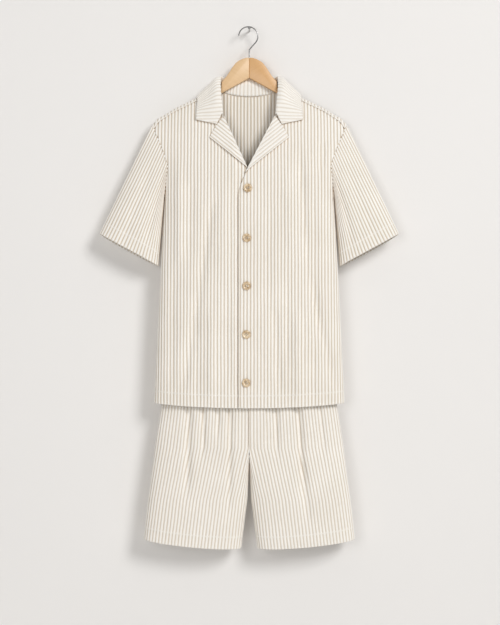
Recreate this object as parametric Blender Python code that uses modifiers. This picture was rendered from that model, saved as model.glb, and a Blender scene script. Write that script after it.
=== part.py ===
"""A camp-collar shirt and matching shorts in ribbed cloth, hanging on a wooden hanger from a wall pin.

The origin is the root of the pin on the wall. +X is the viewer's right, +Y goes into the wall and +Z is up.
Sizes below are in millimetres and become metres when a mesh is made. "Left" and "right" in the names of
pieces are the wearer's, so a left piece has positive X.
"""

import math
from collections import namedtuple

import bmesh
import bpy
import numpy as np
from mathutils import Matrix, Vector

MM = 0.001
SEAM_GAP = 0.3

# Cloth
RIB_PITCH = 7.6
RIB_RELIEF = 1.2
WALL = 2.7
RIM_SET_BACK = 1.5
RIBS_PER_CELL = 2
COLUMNS_PER_CELL = 2 * RIBS_PER_CELL

# Hanging line: the hanger, and the shirt's shoulders, lie in this plane in front of the wall
HANG_Y = -30.0
SHOULDER_RADIUS = 10.0

# Shirt sections from hem to armpit: half width, front and back face at that height
Section = namedtuple("Section", "z half_width front back")
SHIRT = (
    Section(z=-862, half_width=215.5, front=-93, back=-12),
    Section(z=-707, half_width=207.6, front=-93, back=-12),
    Section(z=-543, half_width=199.5, front=-90, back=-12),
    Section(z=-450, half_width=194.0, front=-86, back=-13),
    Section(z=-390, half_width=190.5, front=-80, back=-14),
)
SHIRT_POWER = 3.2
PIT_Z = -390.0
FRONT_HEM = dict(side=-846.0, middle=-859.0)
BACK_HEM = dict(side=-846.0, middle=-851.0)
SHIRT_ROWS = (-720.0, -580.0, -440.0)

# Shoulder line, from the neck to the shoulder tip
Ridge = namedtuple("Ridge", "x z")
RIDGE = (
    Ridge(x=0.0, z=-110.0),
    Ridge(x=72.7, z=-127.5),
    Ridge(x=115.6, z=-155.3),
    Ridge(x=170.7, z=-181.5),
    Ridge(x=205.0, z=-204.0),
    Ridge(x=224.0, z=-232.0),
)

# Armhole: where it leaves the side fold, and how the shoulder spreads out to its tip
FOLD_Z = -313.7
FAN_START = 100.0
FAN_OUT = 36.0
TIP_BULGE = 6.0
SIDE_CELLS = 2
FOLD_PUSH = 6.0

# Button edge, V neck and neckline
EDGE_X = -24.0
EDGE_TURN_Z = -386.0
GORGE = (58.0, -200.7)
ROLL_FOOT_LEFT = (-2.5, -324.0)
ROLL_FOOT_RIGHT = (7.0, -324.0)
NECK_HALF = 72.0
OVERLAP = 24.0
OVERLAP_DROP = 3.5
NECK_BACK_Z = -151.0

# Sleeve
SLEEVE_HEM_OUTER = (339.0, -469.5)
SLEEVE_HEM_INNER = (204.8, -542.4)
SLEEVE_HEM_DEPTH = 54.0
SLEEVE_MIDDLE_Y = -46.0
SLEEVE_POWER = 2.5
SLEEVE_CELLS = 22
SLEEVE_ROWS = (0.0, 0.35, 0.7, 1.0)

# Collar, half of it from the middle of the back to the gorge: seam, fold and free edge
CollarStation = namedtuple("CollarStation", "at neck fold edge")
COLLAR = (
    CollarStation(at=0.00, neck=(0, -22.6, -149.9), fold=(0, -19.5, -112), edge=(0, -75.5)),
    CollarStation(at=0.15, neck=(32, -22.6, -147.3), fold=(29, -19.5, -111.5), edge=(46, -62)),
    CollarStation(at=0.30, neck=(56, -21.8, -140.6), fold=(52, -19.8, -110.2), edge=(88, -44)),
    CollarStation(at=0.41, neck=(65.0, -24.4, -129.0), fold=(61.5, -24.2, -108.8), edge=(108, -16)),
    CollarStation(at=0.50, neck=(67.0, -35, -130.0), fold=(63.6, -34, -109.6), edge=(115.5, 1)),
    CollarStation(at=0.62, neck=(69.0, -44, -147), fold=(64.4, -43, -128), edge=(118.5, 17)),
    CollarStation(at=0.80, neck=(64.2, -49.5, -172), fold=(62.0, -53, -162), edge=(120.5, 37)),
    CollarStation(at=1.00, neck=(59.5, -55, -198), fold=(58.0, -58.5, -198), edge=(121.4, 58)),
)
COLLAR_CELL_ENDS = (0, 0.08, 0.16, 0.24, 0.3, 0.345, 0.385, 0.425, 0.465, 0.505, 0.55, 0.61, 0.69, 0.79, 0.89, 1)
COLLAR_CLEAR = 2.4
SHOULDER_SLOPE = 0.56
FOLD_RADIUS = 3.0
FOLD_DROP = 3.5
COLLAR_WALL = 2.4
COLLAR_RELIEF = (0.5, 0.5, 0.7, 1.0, 1.1, 1.0)
STAND_UNDER = 8.0
NOTCH = (73.1, -221.5)

# Lapel
LAPEL_TIP = (89.6, -251.2)
LAPEL_LIFT = 0.7
LAPEL_WALL = 2.4
LAPEL_RELIEF = 1.0
LAPEL_ROWS = (0.0, 0.3, 0.62, 1.0)

LAPEL_CELLS = 4
LAPEL_FOOT_LEFT = (-9.2, -330.6)
LAPEL_FOOT_RIGHT = (3.6, -320.4)
NOTCH_LAPEL = (73.4, -222.8)
LAPEL_GORGE = (57.6, -201.6)

# Buttons
BUTTON_X_Z = ((-3.6, -366.7), (-5.6, -478.9), (-6.0, -586.0), (-6.6, -694.3), (-6.8, -802.1))
BUTTON_RADIUS = 9.5
BUTTON_HOLE_RADIUS = 0.9
BUTTON_HOLE_SPREAD = 2.1
BUTTON_PROFILE = ((0, 1.9), (5.4, 2.0), (6.8, 2.9), (8.6, 2.9), (9.5, 2.0), (9.3, 0.9), (7.5, 0), (0, 0))

# Shorts sections: half width, inner edge of the leg, front and back face
ShortsSection = namedtuple("ShortsSection", "z half_width inner front back")
SHORTS = (
    ShortsSection(z=-1182, half_width=241.0, inner=18.6, front=-87, back=-15),
    ShortsSection(z=-1122, half_width=234.5, inner=11.3, front=-86, back=-16),
    ShortsSection(z=-1066, half_width=228.0, inner=3.9, front=-85, back=-17),
    ShortsSection(z=-987, half_width=218.6, inner=0.5, front=-83, back=-18),
    ShortsSection(z=-850, half_width=197.6, inner=0.0, front=-79, back=-19),
    ShortsSection(z=-729, half_width=171.0, inner=0.0, front=-78, back=-16.5),
    ShortsSection(z=-690, half_width=168.0, inner=0.0, front=-77, back=-15.2),
)
SHORTS_POWER = 3.0
SHORTS_HEM = dict(side=-1155.0, inner=-1176.0)
CROTCH_Z = -987.0
CROTCH_RISE = 38.0
CROTCH_CELLS = 3
SHORTS_CELLS = 20
SHORTS_ROWS = (-1065.0,)
SHORTS_UPPER_ROWS = (-855.0,)
BAND_TOP = -693.5
BAND_BOTTOM = -728.5
BAND_CELLS = 40
FLY_WIDTH = 35.0
FLY_FOOT_Z = -952.0
FLY_RAISE = 1.3

# Folds: a soft trough (depth above zero) or ridge along a line from top to foot
Fold = namedtuple("Fold", "x_top z_top x_foot z_foot half_width depth")
FRONT_FOLDS = (
    Fold(x_top=112, z_top=-290, x_foot=131, z_foot=-560, half_width=13, depth=4.0),
    Fold(x_top=131, z_top=-560, x_foot=186, z_foot=-800, half_width=15, depth=3.6),
    Fold(x_top=164, z_top=-265, x_foot=162, z_foot=-330, half_width=9, depth=2.6),
    Fold(x_top=56, z_top=-640, x_foot=66, z_foot=-820, half_width=12, depth=2.6),
    Fold(x_top=107, z_top=-650, x_foot=108, z_foot=-845, half_width=13, depth=-2.4),
    Fold(x_top=-84, z_top=-400, x_foot=-111, z_foot=-590, half_width=14, depth=3.2),
    Fold(x_top=-111, z_top=-590, x_foot=-147, z_foot=-810, half_width=15, depth=3.4),
    Fold(x_top=-158, z_top=-310, x_foot=-157, z_foot=-540, half_width=12, depth=-2.4),
    Fold(x_top=-84, z_top=-650, x_foot=-86, z_foot=-845, half_width=13, depth=-2.4),
)
BACK_FOLDS = (
    Fold(x_top=-120, z_top=-270, x_foot=-96, z_foot=-560, half_width=15, depth=-3.4),
    Fold(x_top=118, z_top=-300, x_foot=142, z_foot=-640, half_width=15, depth=-3.0),
    Fold(x_top=22, z_top=-430, x_foot=34, z_foot=-800, half_width=14, depth=-2.6),
    Fold(x_top=-150, z_top=-620, x_foot=-164, z_foot=-830, half_width=13, depth=-2.8),
)
SLEEVE_FOLDS = (
    Fold(x_top=0.30, z_top=0.10, x_foot=0.36, z_foot=0.85, half_width=0.035, depth=3.0),
    Fold(x_top=0.17, z_top=0.25, x_foot=0.20, z_foot=1.0, half_width=0.030, depth=1.6),
    Fold(x_top=0.78, z_top=0.15, x_foot=0.72, z_foot=0.9, half_width=0.035, depth=2.6),
)
SHORTS_FRONT_FOLDS = (
    Fold(x_top=-134, z_top=-730, x_foot=-140, z_foot=-985, half_width=11, depth=3.4),
    Fold(x_top=-102, z_top=-730, x_foot=-104, z_foot=-900, half_width=8, depth=2.6),
    Fold(x_top=-70, z_top=-730, x_foot=-71, z_foot=-860, half_width=8, depth=2.2),
    Fold(x_top=-43, z_top=-730, x_foot=-46, z_foot=-1030, half_width=9, depth=2.4),
    Fold(x_top=58, z_top=-730, x_foot=60, z_foot=-900, half_width=9, depth=2.4),
    Fold(x_top=100, z_top=-730, x_foot=120, z_foot=-985, half_width=11, depth=3.8),
    Fold(x_top=120, z_top=-985, x_foot=131, z_foot=-1110, half_width=11, depth=3.0),
    Fold(x_top=150, z_top=-730, x_foot=166, z_foot=-905, half_width=9, depth=2.6),
)
SHORTS_BACK_FOLDS = (
    Fold(x_top=-128, z_top=-730, x_foot=-142, z_foot=-960, half_width=11, depth=3.0),
    Fold(x_top=-84, z_top=-730, x_foot=-90, z_foot=-900, half_width=9, depth=2.4),
    Fold(x_top=-34, z_top=-730, x_foot=-36, z_foot=-920, half_width=9, depth=2.4),
    Fold(x_top=46, z_top=-730, x_foot=50, z_foot=-890, half_width=9, depth=2.4),
    Fold(x_top=92, z_top=-730, x_foot=104, z_foot=-980, half_width=11, depth=3.2),
    Fold(x_top=140, z_top=-730, x_foot=154, z_foot=-920, half_width=9, depth=2.4),
)

# Hanger, seen from the front: upper and lower edge of one half, from the middle out
HANGER_THICKNESS = 10.0
HANGER_TOP = ((0, -66.7), (8, -67.3), (16, -69.8), (24, -73.8), (31, -79.0), (39.5, -90),
              (50, -107), (62.5, -121.5), (65, -141.9), (79, -143.9))
HANGER_UNDER_SHOULDER = 6.1
HANGER_TIP_X = 203.0
HANGER_LOWER = ((0, -113.1), (63.2, -147.6), (120, -180), (165, -204), (190, -221))
HANGER_EDGE = 1.5
HALF_GAP = 0.15
WIRE_RADIUS = 1.5
HOOK_RADIUS = 21.8
HOOK_CENTRE_X = -2.3
STEM_FOOT_Z = -90.0
STEM_BORE_RADIUS = 1.8
PIN_RADIUS = 2.0
PIN_HEAD_RADIUS = 3.2
PIN_LENGTH = 38.0

CLOTH_COLOUR = (0.86, 0.82, 0.75)
BUTTON_COLOUR = (0.50, 0.36, 0.21)
WOOD_LIGHT = (0.76, 0.52, 0.31)
WOOD_DARK = (0.68, 0.43, 0.21)
STEEL_COLOUR = (0.62, 0.61, 0.60)


def smooth(value):
    """Eases from 0 to 1 as value goes from 0 to 1."""
    t = np.clip(value, 0.0, 1.0)
    return t * t * (3 - 2 * t)


def column(table, name, at, by="z"):
    """A named column of a table, read at a place between its rows."""
    rows = sorted(table, key=lambda row: getattr(row, by))
    return np.interp(at, [getattr(row, by) for row in rows], [getattr(row, name) for row in rows])


def fold_depth(folds, x, z):
    """How far the folds push the cloth in at a place."""
    total = np.zeros(np.broadcast(x, z).shape)
    for fold in folds:
        along = (z - fold.z_top) / (fold.z_foot - fold.z_top)
        centre = fold.x_top + (fold.x_foot - fold.x_top) * along
        ends = smooth((along + 0.12) / 0.3) * smooth((1.12 - along) / 0.3)
        total = total + fold.depth * ends * np.exp(-(((x - centre) / fold.half_width) ** 2))
    return total


class Quarter:
    """A quarter of a rounded section, from its flat face to its side, by its own length at each height."""

    STEPS = 160

    def __init__(self, sections, power, inner=False):
        self.levels = np.linspace(sections[0].z, sections[-1].z, 60)
        turn = np.linspace(math.pi / 2, 0.0, 600)
        share = np.linspace(0, 1, self.STEPS)
        self.x, self.y, self.length = [], [], []
        for z in self.levels:
            half = column(sections, "half_width", z)
            if inner:
                half = (half - column(sections, "inner", z)) / 2
            deep = (column(sections, "back", z) - column(sections, "front", z)) / 2
            x = half * np.cos(turn) ** (2 / power)
            y = deep * np.sin(turn) ** (2 / power)
            run = np.concatenate([[0], np.cumsum(np.hypot(np.diff(x), np.diff(y)))])
            self.x.append(np.interp(share * run[-1], run, x))
            self.y.append(np.interp(share * run[-1], run, y))
            self.length.append(run[-1])
        self.x, self.y, self.length = map(np.array, (self.x, self.y, self.length))

    def total(self, z):
        return np.interp(z, self.levels, self.length)

    def at(self, share, z):
        """x from the middle and y from the middle plane, at a share of the quarter's length."""
        level = np.interp(z, self.levels, np.arange(len(self.levels)))
        low = np.minimum(level.astype(int), len(self.levels) - 2)
        step = np.clip(share, 0, 1) * (self.STEPS - 1)
        left = np.minimum(step.astype(int), self.STEPS - 2)
        up, along = level - low, step - left
        found = []
        for grid in (self.x, self.y):
            lower = grid[low, left] * (1 - along) + grid[low, left + 1] * along
            upper = grid[low + 1, left] * (1 - along) + grid[low + 1, left + 1] * along
            found.append(lower * (1 - up) + upper * up)
        return found


SHIRT_QUARTER = Quarter(SHIRT, SHIRT_POWER)
SHORTS_QUARTER = Quarter(SHORTS, SHORTS_POWER)
LEG_QUARTER = Quarter(SHORTS, SHORTS_POWER, inner=True)


def ridge_z(x):
    return column(RIDGE, "z", np.abs(x), by="x")


def mid_and_depth(sections, z):
    front, back = column(sections, "front", z), column(sections, "back", z)
    return (front + back) / 2, (back - front) / 2


def shirt_y(side, x, z, low_y, folds=True):
    """Depth of the shirt's face: its section's up to the armpit, drawn in to the shoulder above it."""
    seam = ridge_z(x) - SHOULDER_RADIUS
    rise = np.clip((z - PIT_Z) / (seam - PIT_Z), 0, 1) ** 1.6
    y = low_y + (HANG_Y + side * SHOULDER_RADIUS - low_y) * rise
    if folds:
        push = fold_depth(FRONT_FOLDS if side < 0 else BACK_FOLDS, x, z)
        y = y - side * push * (1 - rise ** 3)
    return y


def shirt_low(side, run, z):
    """A point of the shirt's section, run along it from the middle, with z held at the armpit above it."""
    held = np.minimum(z, PIT_Z)
    share = np.abs(run) / SHIRT_QUARTER.total(held)
    x, deep = SHIRT_QUARTER.at(share, held)
    middle, _ = mid_and_depth(SHIRT, held)
    return np.sign(run) * x, middle + side * deep


def spread(x):
    """How far a column has moved out by the time it reaches the shoulder."""
    over = np.clip((np.abs(x) - FAN_START) / (190 - FAN_START), 0, 1)
    return np.sign(x) * FAN_OUT * over ** 1.5


def face_y(side, x, z):
    """Depth of the shirt's front (side -1) or back (side +1) at a place that isn't on its side fold."""
    held = np.minimum(z, PIT_Z)
    middle, deep = mid_and_depth(SHIRT, held)
    half = column(SHIRT, "half_width", held)
    bend = np.clip(1 - (np.abs(x) / half) ** SHIRT_POWER, 0, 1) ** (1 / SHIRT_POWER)
    return shirt_y(side, x, z, middle + side * deep * bend)


def shoulder_point(x, over):
    """A point on the shirt, over millimetres past the shoulder line: above zero down the front."""
    quarter_turn = SHOULDER_RADIUS * math.pi / 2
    angle = np.clip(over / SHOULDER_RADIUS, -math.pi / 2, math.pi / 2)
    past = np.clip(np.abs(over) - quarter_turn, 0, None)
    z = ridge_z(x) - SHOULDER_RADIUS * (1 - np.cos(angle)) - past
    y_cap = HANG_Y - SHOULDER_RADIUS * np.sin(angle)
    y_face = np.where(over > 0, face_y(-1, x, z), face_y(1, x, z))
    return np.stack([x, np.where(past > 0, y_face, y_cap), z], -1)


def unit(vectors):
    return vectors / np.linalg.norm(vectors, axis=-1, keepdims=True)


def normals_of(grid, outward):
    """Unit normals of a grid of points, turned to the side that outward points to."""
    across = np.gradient(grid, axis=1)
    along = np.gradient(grid, axis=0)
    normal = np.cross(across, along)
    normal /= np.maximum(np.linalg.norm(normal, axis=-1, keepdims=True), 1e-9)
    turned = np.sign(np.sum(normal * outward, axis=-1, keepdims=True))
    return normal * np.where(turned == 0, 1, turned)


def ribbed(grid, normal, relief):
    """Every second column set back by the relief of its row, which leaves the others standing as ribs."""
    grooves = np.arange(grid.shape[1]) % 2
    return grid - normal * (np.broadcast_to(relief, len(grid))[:, None] * grooves)[..., None]


def material(name, colour, roughness, metallic=0.0):
    made = bpy.data.materials.get(name)
    if made is None:
        made = bpy.data.materials.new(name)
        made.use_nodes = True
        shader = made.node_tree.nodes["Principled BSDF"]
        shader.inputs["Base Color"].default_value = (*colour, 1.0)
        shader.inputs["Roughness"].default_value = roughness
        shader.inputs["Metallic"].default_value = metallic
    return made


def cloth():
    return material("ribbed_cloth", CLOTH_COLOUR, 0.9)


def add_object(name, mesh, finish, place):
    made = bpy.data.objects.new(name, mesh)
    made.data.materials.append(finish)
    place.objects.link(made)
    return made


def wall(name, outer, inner, place, cells=None, closed=False, finish=None):
    """A wall of cloth between a fine outer grid and a plain inner one.

    Both grids have the same rows. A cell is one span of the inner grid and COLUMNS_PER_CELL of the outer one,
    and cells says which of them are there. Where a cell has no neighbour the wall gets its edge.
    """
    rows, fine = outer.shape[:2]
    coarse = inner.shape[1]
    spans = coarse if closed else coarse - 1
    if cells is None:
        cells = np.ones((rows - 1, spans), bool)
    points = np.concatenate([outer.reshape(-1, 3), inner.reshape(-1, 3)]) * MM
    faces = []

    def out(row, col):
        return row * fine + col % fine

    def back(row, col):
        return rows * fine + row * coarse + col % coarse

    def there(row, span):
        if closed:
            span %= spans
        return 0 <= row < rows - 1 and 0 <= span < spans and cells[row, span]

    def rim(row, span, flip):
        near, far = back(row, span), back(row, span + 1)
        edge = [out(row, span * COLUMNS_PER_CELL + step) for step in range(COLUMNS_PER_CELL + 1)]
        half = COLUMNS_PER_CELL // 2
        fan = [(near, edge[step], edge[step + 1]) for step in range(half)]
        fan.append((near, edge[half], far))
        fan += [(far, edge[step], edge[step + 1]) for step in range(half, COLUMNS_PER_CELL)]
        return [face[::-1] for face in fan] if flip else fan

    for row in range(rows - 1):
        for span in range(spans):
            if not there(row, span):
                continue
            first = span * COLUMNS_PER_CELL
            for step in range(first, first + COLUMNS_PER_CELL):
                faces.append((out(row, step), out(row, step + 1), out(row + 1, step + 1), out(row + 1, step)))
            faces.append((back(row, span), back(row + 1, span), back(row + 1, span + 1), back(row, span + 1)))
            if not there(row - 1, span):
                faces += rim(row, span, True)
            if not there(row + 1, span):
                faces += rim(row + 1, span, False)
            if not there(row, span - 1):
                faces.append((out(row, first), out(row + 1, first), back(row + 1, span), back(row, span)))
            if not there(row, span + 1):
                last = first + COLUMNS_PER_CELL
                faces.append((out(row + 1, last), out(row, last), back(row, span + 1), back(row + 1, span + 1)))
    mesh = bpy.data.meshes.new(name)
    mesh.from_pydata([tuple(point) for point in points], [], faces)
    tidy = bmesh.new()
    tidy.from_mesh(mesh)
    bmesh.ops.delete(tidy, geom=[v for v in tidy.verts if not v.link_faces], context="VERTS")
    bmesh.ops.triangulate(tidy, faces=tidy.faces)
    if tidy.calc_volume(signed=True) < 0:
        bmesh.ops.reverse_faces(tidy, faces=tidy.faces)
    tidy.to_mesh(mesh)
    tidy.free()
    mesh.shade_smooth()
    mesh.set_sharp_from_angle(angle=math.radians(50))
    return add_object(name, mesh, finish or cloth(), place)


def cloth_wall(name, grid, outward, place, cells=None, closed=False, thickness=WALL, relief=RIB_RELIEF):
    """A ribbed wall behind a grid of its crest points, with a plain inside."""
    outward = np.broadcast_to(outward, grid.shape)
    if closed:
        ring = [np.concatenate([each[:, -1:], each, each[:, :1]], axis=1) for each in (grid, outward)]
        normal = normals_of(*ring)[:, 1:-1]
    else:
        normal = normals_of(grid, outward)
    outer = ribbed(grid, normal, relief)
    inner = (grid - normal * thickness)[:, ::COLUMNS_PER_CELL]
    for edge, beside in ((0, 1), (-1, -2)):
        inner[edge] = inner[edge] + unit(inner[beside] - inner[edge]) * RIM_SET_BACK
    return wall(name, outer, inner, place, cells, closed)


def hem_z(hem, x, half):
    return hem["side"] + (hem["middle"] - hem["side"]) * (1 - np.clip(np.abs(x) / half, 0, 1) ** 2)


def edge_x(z, foot):
    """The button edge: straight up to the turn, then in to the foot of the roll line."""
    up = np.clip((z - EDGE_TURN_Z) / (foot[1] - EDGE_TURN_Z), 0, 1)
    return EDGE_X + (foot[0] - EDGE_X) * up ** 1.7


def front_top(x, foot):
    """Height of the front's upper edge over x: roll line, neckline, then shoulder seam."""
    shoulder = ridge_z(x) - SHOULDER_RADIUS - 2 * SEAM_GAP
    roll = np.interp(x, [foot[0], GORGE[0] + 4], [foot[1], GORGE[1] + 1])
    neck = np.interp(x, [GORGE[0] + 4, NECK_HALF + 2], [GORGE[1] + 1, ridge_z(NECK_HALF + 2) - SHOULDER_RADIUS - SEAM_GAP])
    return np.where(x < GORGE[0] + 4, roll, np.where(x < NECK_HALF + 2, neck, shoulder))


def fold_push(x, side):
    """How far the side fold stands out beside the armhole, fading to the armpit."""
    return np.sign(x) * FOLD_PUSH * smooth((np.abs(x) - 120) / 60) * (1 - side) ** 2


def armhole_z(share):
    """Height of the lower armhole over the side fold, from the fold (0) to the armpit (1)."""
    return PIT_Z + (FOLD_Z - PIT_Z) * (1 - share) ** 2


FRONT_CELLS = round((215 + OVERLAP + 35) / (RIB_PITCH * RIBS_PER_CELL))
BACK_HALF_CELLS = round((215 + 35) / (RIB_PITCH * RIBS_PER_CELL))


def front_columns(share, row, foot):
    """Points of a front panel in mirrored x. share runs from the button edge to the side seam.

    row runs 0, 1, ... over hem, SHIRT_ROWS, the armhole row and then by parts up to the top edge.
    """
    low_rows = len(SHIRT_ROWS) + 1
    side_share = 1 - SIDE_CELLS / FRONT_CELLS

    def low(z):
        reach = SHIRT_QUARTER.total(np.minimum(z, PIT_Z)) - SEAM_GAP / 2
        return shirt_low(-1, EDGE_X + (reach - EDGE_X) * share, z)

    x_guess, _ = low(np.full_like(share, PIT_Z))
    hem = hem_z(FRONT_HEM, x_guess, 215)
    side = np.clip((share - side_share) / (1 - side_share), 0, 1)
    near_edge = np.clip((GORGE[0] - x_guess) / (GORGE[0] - EDGE_X), 0, 1)
    arm = np.where(share >= side_share, armhole_z(side), FOLD_Z)
    arm = arm + near_edge ** 3 * (foot[1] - 16 - FOLD_Z)
    levels = [hem] + [np.full_like(share, z) for z in SHIRT_ROWS] + [arm]
    index = int(row)
    if index < low_rows:
        part = row - index
        z = levels[index] * (1 - part) + levels[index + 1] * part
    else:
        part = 1.0
        z = levels[low_rows]
    x, low_y = low(z)
    if index >= low_rows - 1:
        x = x + part * fold_push(x, side)
    squeeze = np.clip((GORGE[0] - x) / (GORGE[0] - EDGE_X), 0, 1)
    x = x + (edge_x(z, foot) - EDGE_X) * squeeze
    if row > low_rows:
        part = (row - low_rows) / 3
        foot_squeeze = np.clip((GORGE[0] - x) / (GORGE[0] - x[0]), 0, 1)
        x_top = x + spread(x) + (foot[0] - x[0]) * foot_squeeze
        z_top = front_top(x_top, foot)
        x = x + (x_top - x) * part ** 1.2
        z = z + (z_top - z) * part
    return x, z, low_y


def front_grid(share, rows, foot, drop):
    grid = []
    for row in rows:
        x, z, low_y = front_columns(share, row, foot)
        y = shirt_y(-1, x * foot_side(foot), z, low_y)
        y = y + drop * smooth((OVERLAP + 12 - x) / 9)
        grid.append(np.stack([x * foot_side(foot), y, z], -1))
    return np.array(grid)


def depth_on(grid, x, z):
    """Depth of a panel at places over it, read between the points of its columns."""
    x, z = np.atleast_1d(x), np.atleast_1d(z)
    across = np.array([np.interp(z, line[:, 2], line[:, 0]) for line in grid.transpose(1, 0, 2)])
    deep = np.array([np.interp(z, line[:, 2], line[:, 1]) for line in grid.transpose(1, 0, 2)])
    found = []
    for place, xs, ys in zip(x, across.T, deep.T):
        order = np.argsort(xs)
        found.append(np.interp(place, xs[order], ys[order]))
    return np.array(found)


def foot_side(foot):
    """+1 for the wearer's left front, which lies on top, and -1 for the right one."""
    return 1 if foot is ROLL_FOOT_LEFT else -1


def panel_cells(rows, spans, side_cells, from_row, both=False):
    cells = np.ones((rows - 1, spans), bool)
    cells[from_row:, spans - side_cells:] = False
    if both:
        cells[from_row:, :side_cells] = False
    return cells


def front_points(foot):
    """The crest points of a front panel, which its wall, lapel, collar and buttons are made from."""
    share = np.linspace(0, 1, FRONT_CELLS * COLUMNS_PER_CELL + 1)
    drop = 0.0 if foot is ROLL_FOOT_LEFT else OVERLAP_DROP
    return front_grid(share, range(len(SHIRT_ROWS) + 5), foot, drop)


def front_panel(name, foot, place):
    grid = front_points(foot)
    low_rows = len(SHIRT_ROWS) + 1
    cells = panel_cells(len(grid), FRONT_CELLS, SIDE_CELLS, low_rows)
    return cloth_wall(name, grid, np.array([0.25 * foot_side(foot), -1, 0.1]), place, cells)


def back_columns(share, row):
    """Points of the back: share runs from -1 to 1 between the side seams, row as on the front."""
    low_rows = len(SHIRT_ROWS) + 1
    side_share = 1 - SIDE_CELLS / BACK_HALF_CELLS

    def low(z):
        reach = SHIRT_QUARTER.total(np.minimum(z, PIT_Z)) - SEAM_GAP / 2
        return shirt_low(1, reach * share, z)

    x_guess, _ = low(np.full_like(share, PIT_Z))
    hem = hem_z(BACK_HEM, x_guess, 215)
    side = np.clip((np.abs(share) - side_share) / (1 - side_share), 0, 1)
    arm = np.where(np.abs(share) >= side_share, armhole_z(side), FOLD_Z)
    levels = [hem] + [np.full_like(share, z) for z in SHIRT_ROWS] + [arm]
    index = int(row)
    if index < low_rows:
        part = row - index
        z = levels[index] * (1 - part) + levels[index + 1] * part
        x, low_y = low(z)
        if index == low_rows - 1:
            x = x + part * fold_push(x, side)
        return x, shirt_y(1, x, z, low_y), z
    x, low_y = low(levels[low_rows])
    x = x + fold_push(x, side)
    z = levels[low_rows]
    x_top = x + spread(x)
    cap = ridge_z(x_top) - SHOULDER_RADIUS
    around = SHOULDER_RADIUS * math.radians(176)
    neck = np.interp(np.abs(x_top), [0, 40, 62, 66], [NECK_BACK_Z, NECK_BACK_Z + 3, -140.5, -132.5])
    end = np.where(np.abs(x_top) < 66, neck, cap + around * smooth((np.abs(x_top) - 66) / 8))
    before = np.minimum(cap, end - 9)
    step = row - low_rows
    if step <= 2:
        reach = z + (before - z) * step / 2
    else:
        reach = before + (end - before) * (step - 2) / 4
    part = np.clip((reach - z) / (before - z), 0, 1)
    x_now = x + (x_top - x) * part ** 1.2
    angle = np.clip((reach - cap) / SHOULDER_RADIUS, 0, math.pi)
    height = np.minimum(reach, cap)
    y = shirt_y(1, x_now, height, low_y)
    tip = smooth((np.abs(x_now) - 185) / 35)
    x_now = x_now + np.sign(x_now) * TIP_BULGE * np.sin(angle) * tip
    y = np.where(angle > 0, HANG_Y + SHOULDER_RADIUS * np.cos(angle), y)
    return x_now, y, height + SHOULDER_RADIUS * np.sin(angle)


def back_panel(name, place):
    spans = 2 * BACK_HALF_CELLS
    share = np.linspace(-1, 1, spans * COLUMNS_PER_CELL + 1)
    low_rows = len(SHIRT_ROWS) + 1
    rows = list(range(low_rows + 7))
    grid = np.array([np.stack(back_columns(share, row), -1) for row in rows])
    cells = panel_cells(len(rows), spans, SIDE_CELLS, low_rows, both=True)
    outward = np.array([0.0, 1.0, 0.0]) + np.array([0.3, 0, 0]) * np.sign(share)[None, :, None]
    outward = np.broadcast_to(outward, grid.shape).copy()
    middle = np.array([0, HANG_Y, 0]) + np.stack([grid[..., 0], 0 * grid[..., 0], ridge_z(grid[..., 0]) - 12], -1)
    top = grid - middle
    outward[low_rows + 2:] = top[low_rows + 2:]
    return cloth_wall(name, grid, outward, place, cells)


def armhole_ring():
    """The armhole as a closed line on the left, from the shoulder line down the front and up the back."""
    low_rows = len(SHIRT_ROWS) + 1
    fold_share = np.array([1 - SIDE_CELLS / FRONT_CELLS])
    foot = ROLL_FOOT_LEFT
    line = []
    for row in np.linspace(low_rows + 3, low_rows, 13)[:-1]:
        x, z, low_y = front_columns(np.concatenate([[0.0], fold_share]), row, foot)
        y = shirt_y(-1, x, z, low_y)
        line.append((x[1], y[1], z[1]))
    share = np.linspace(fold_share[0], 1, 13)
    x, z, low_y = front_columns(np.concatenate([[0.0], share]), low_rows, foot)
    y = shirt_y(-1, x, z, low_y)
    line += list(zip(x[1:], y[1:], z[1:]))
    share = np.linspace(1, 1 - SIDE_CELLS / BACK_HALF_CELLS, 13)
    line += list(zip(*back_columns(share, low_rows)))
    for row in np.linspace(low_rows, low_rows + 6, 25)[1:]:
        x, y, z = back_columns(share[-1:], row)
        line.append((x[0], y[0], z[0]))
    ring = np.array(line)
    top = int(np.argmax(ring[:, 2]))
    return np.concatenate([ring[top:], ring[:top + 1]])


def resampled(line, share):
    run = np.concatenate([[0], np.cumsum(np.linalg.norm(np.diff(line, axis=0), axis=1))])
    return np.stack([np.interp(share * run[-1], run, line[:, axis]) for axis in range(3)], -1)


def sleeve_hem(share):
    """The sleeve's lower edge, from its outer corner over the front to the inner corner and back behind."""
    outer, inner = np.array(SLEEVE_HEM_OUTER), np.array(SLEEVE_HEM_INNER)
    turn = np.linspace(0, 2 * math.pi, 721)
    half = np.linalg.norm(outer - inner) / 2
    along = np.sign(np.cos(turn)) * np.abs(np.cos(turn)) ** (2 / SLEEVE_POWER) * half
    deep = np.sign(np.sin(turn)) * np.abs(np.sin(turn)) ** (2 / SLEEVE_POWER) * SLEEVE_HEM_DEPTH / 2
    way = (outer - inner) / (2 * half)
    centre = (outer + inner) / 2
    sag = -2.5 * np.sin(turn) - 1.5 * np.cos(turn) ** 2
    line = np.stack([centre[0] + way[0] * along, SLEEVE_MIDDLE_Y - deep, centre[1] + way[1] * along - sag], -1)
    return resampled(line, share)


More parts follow.
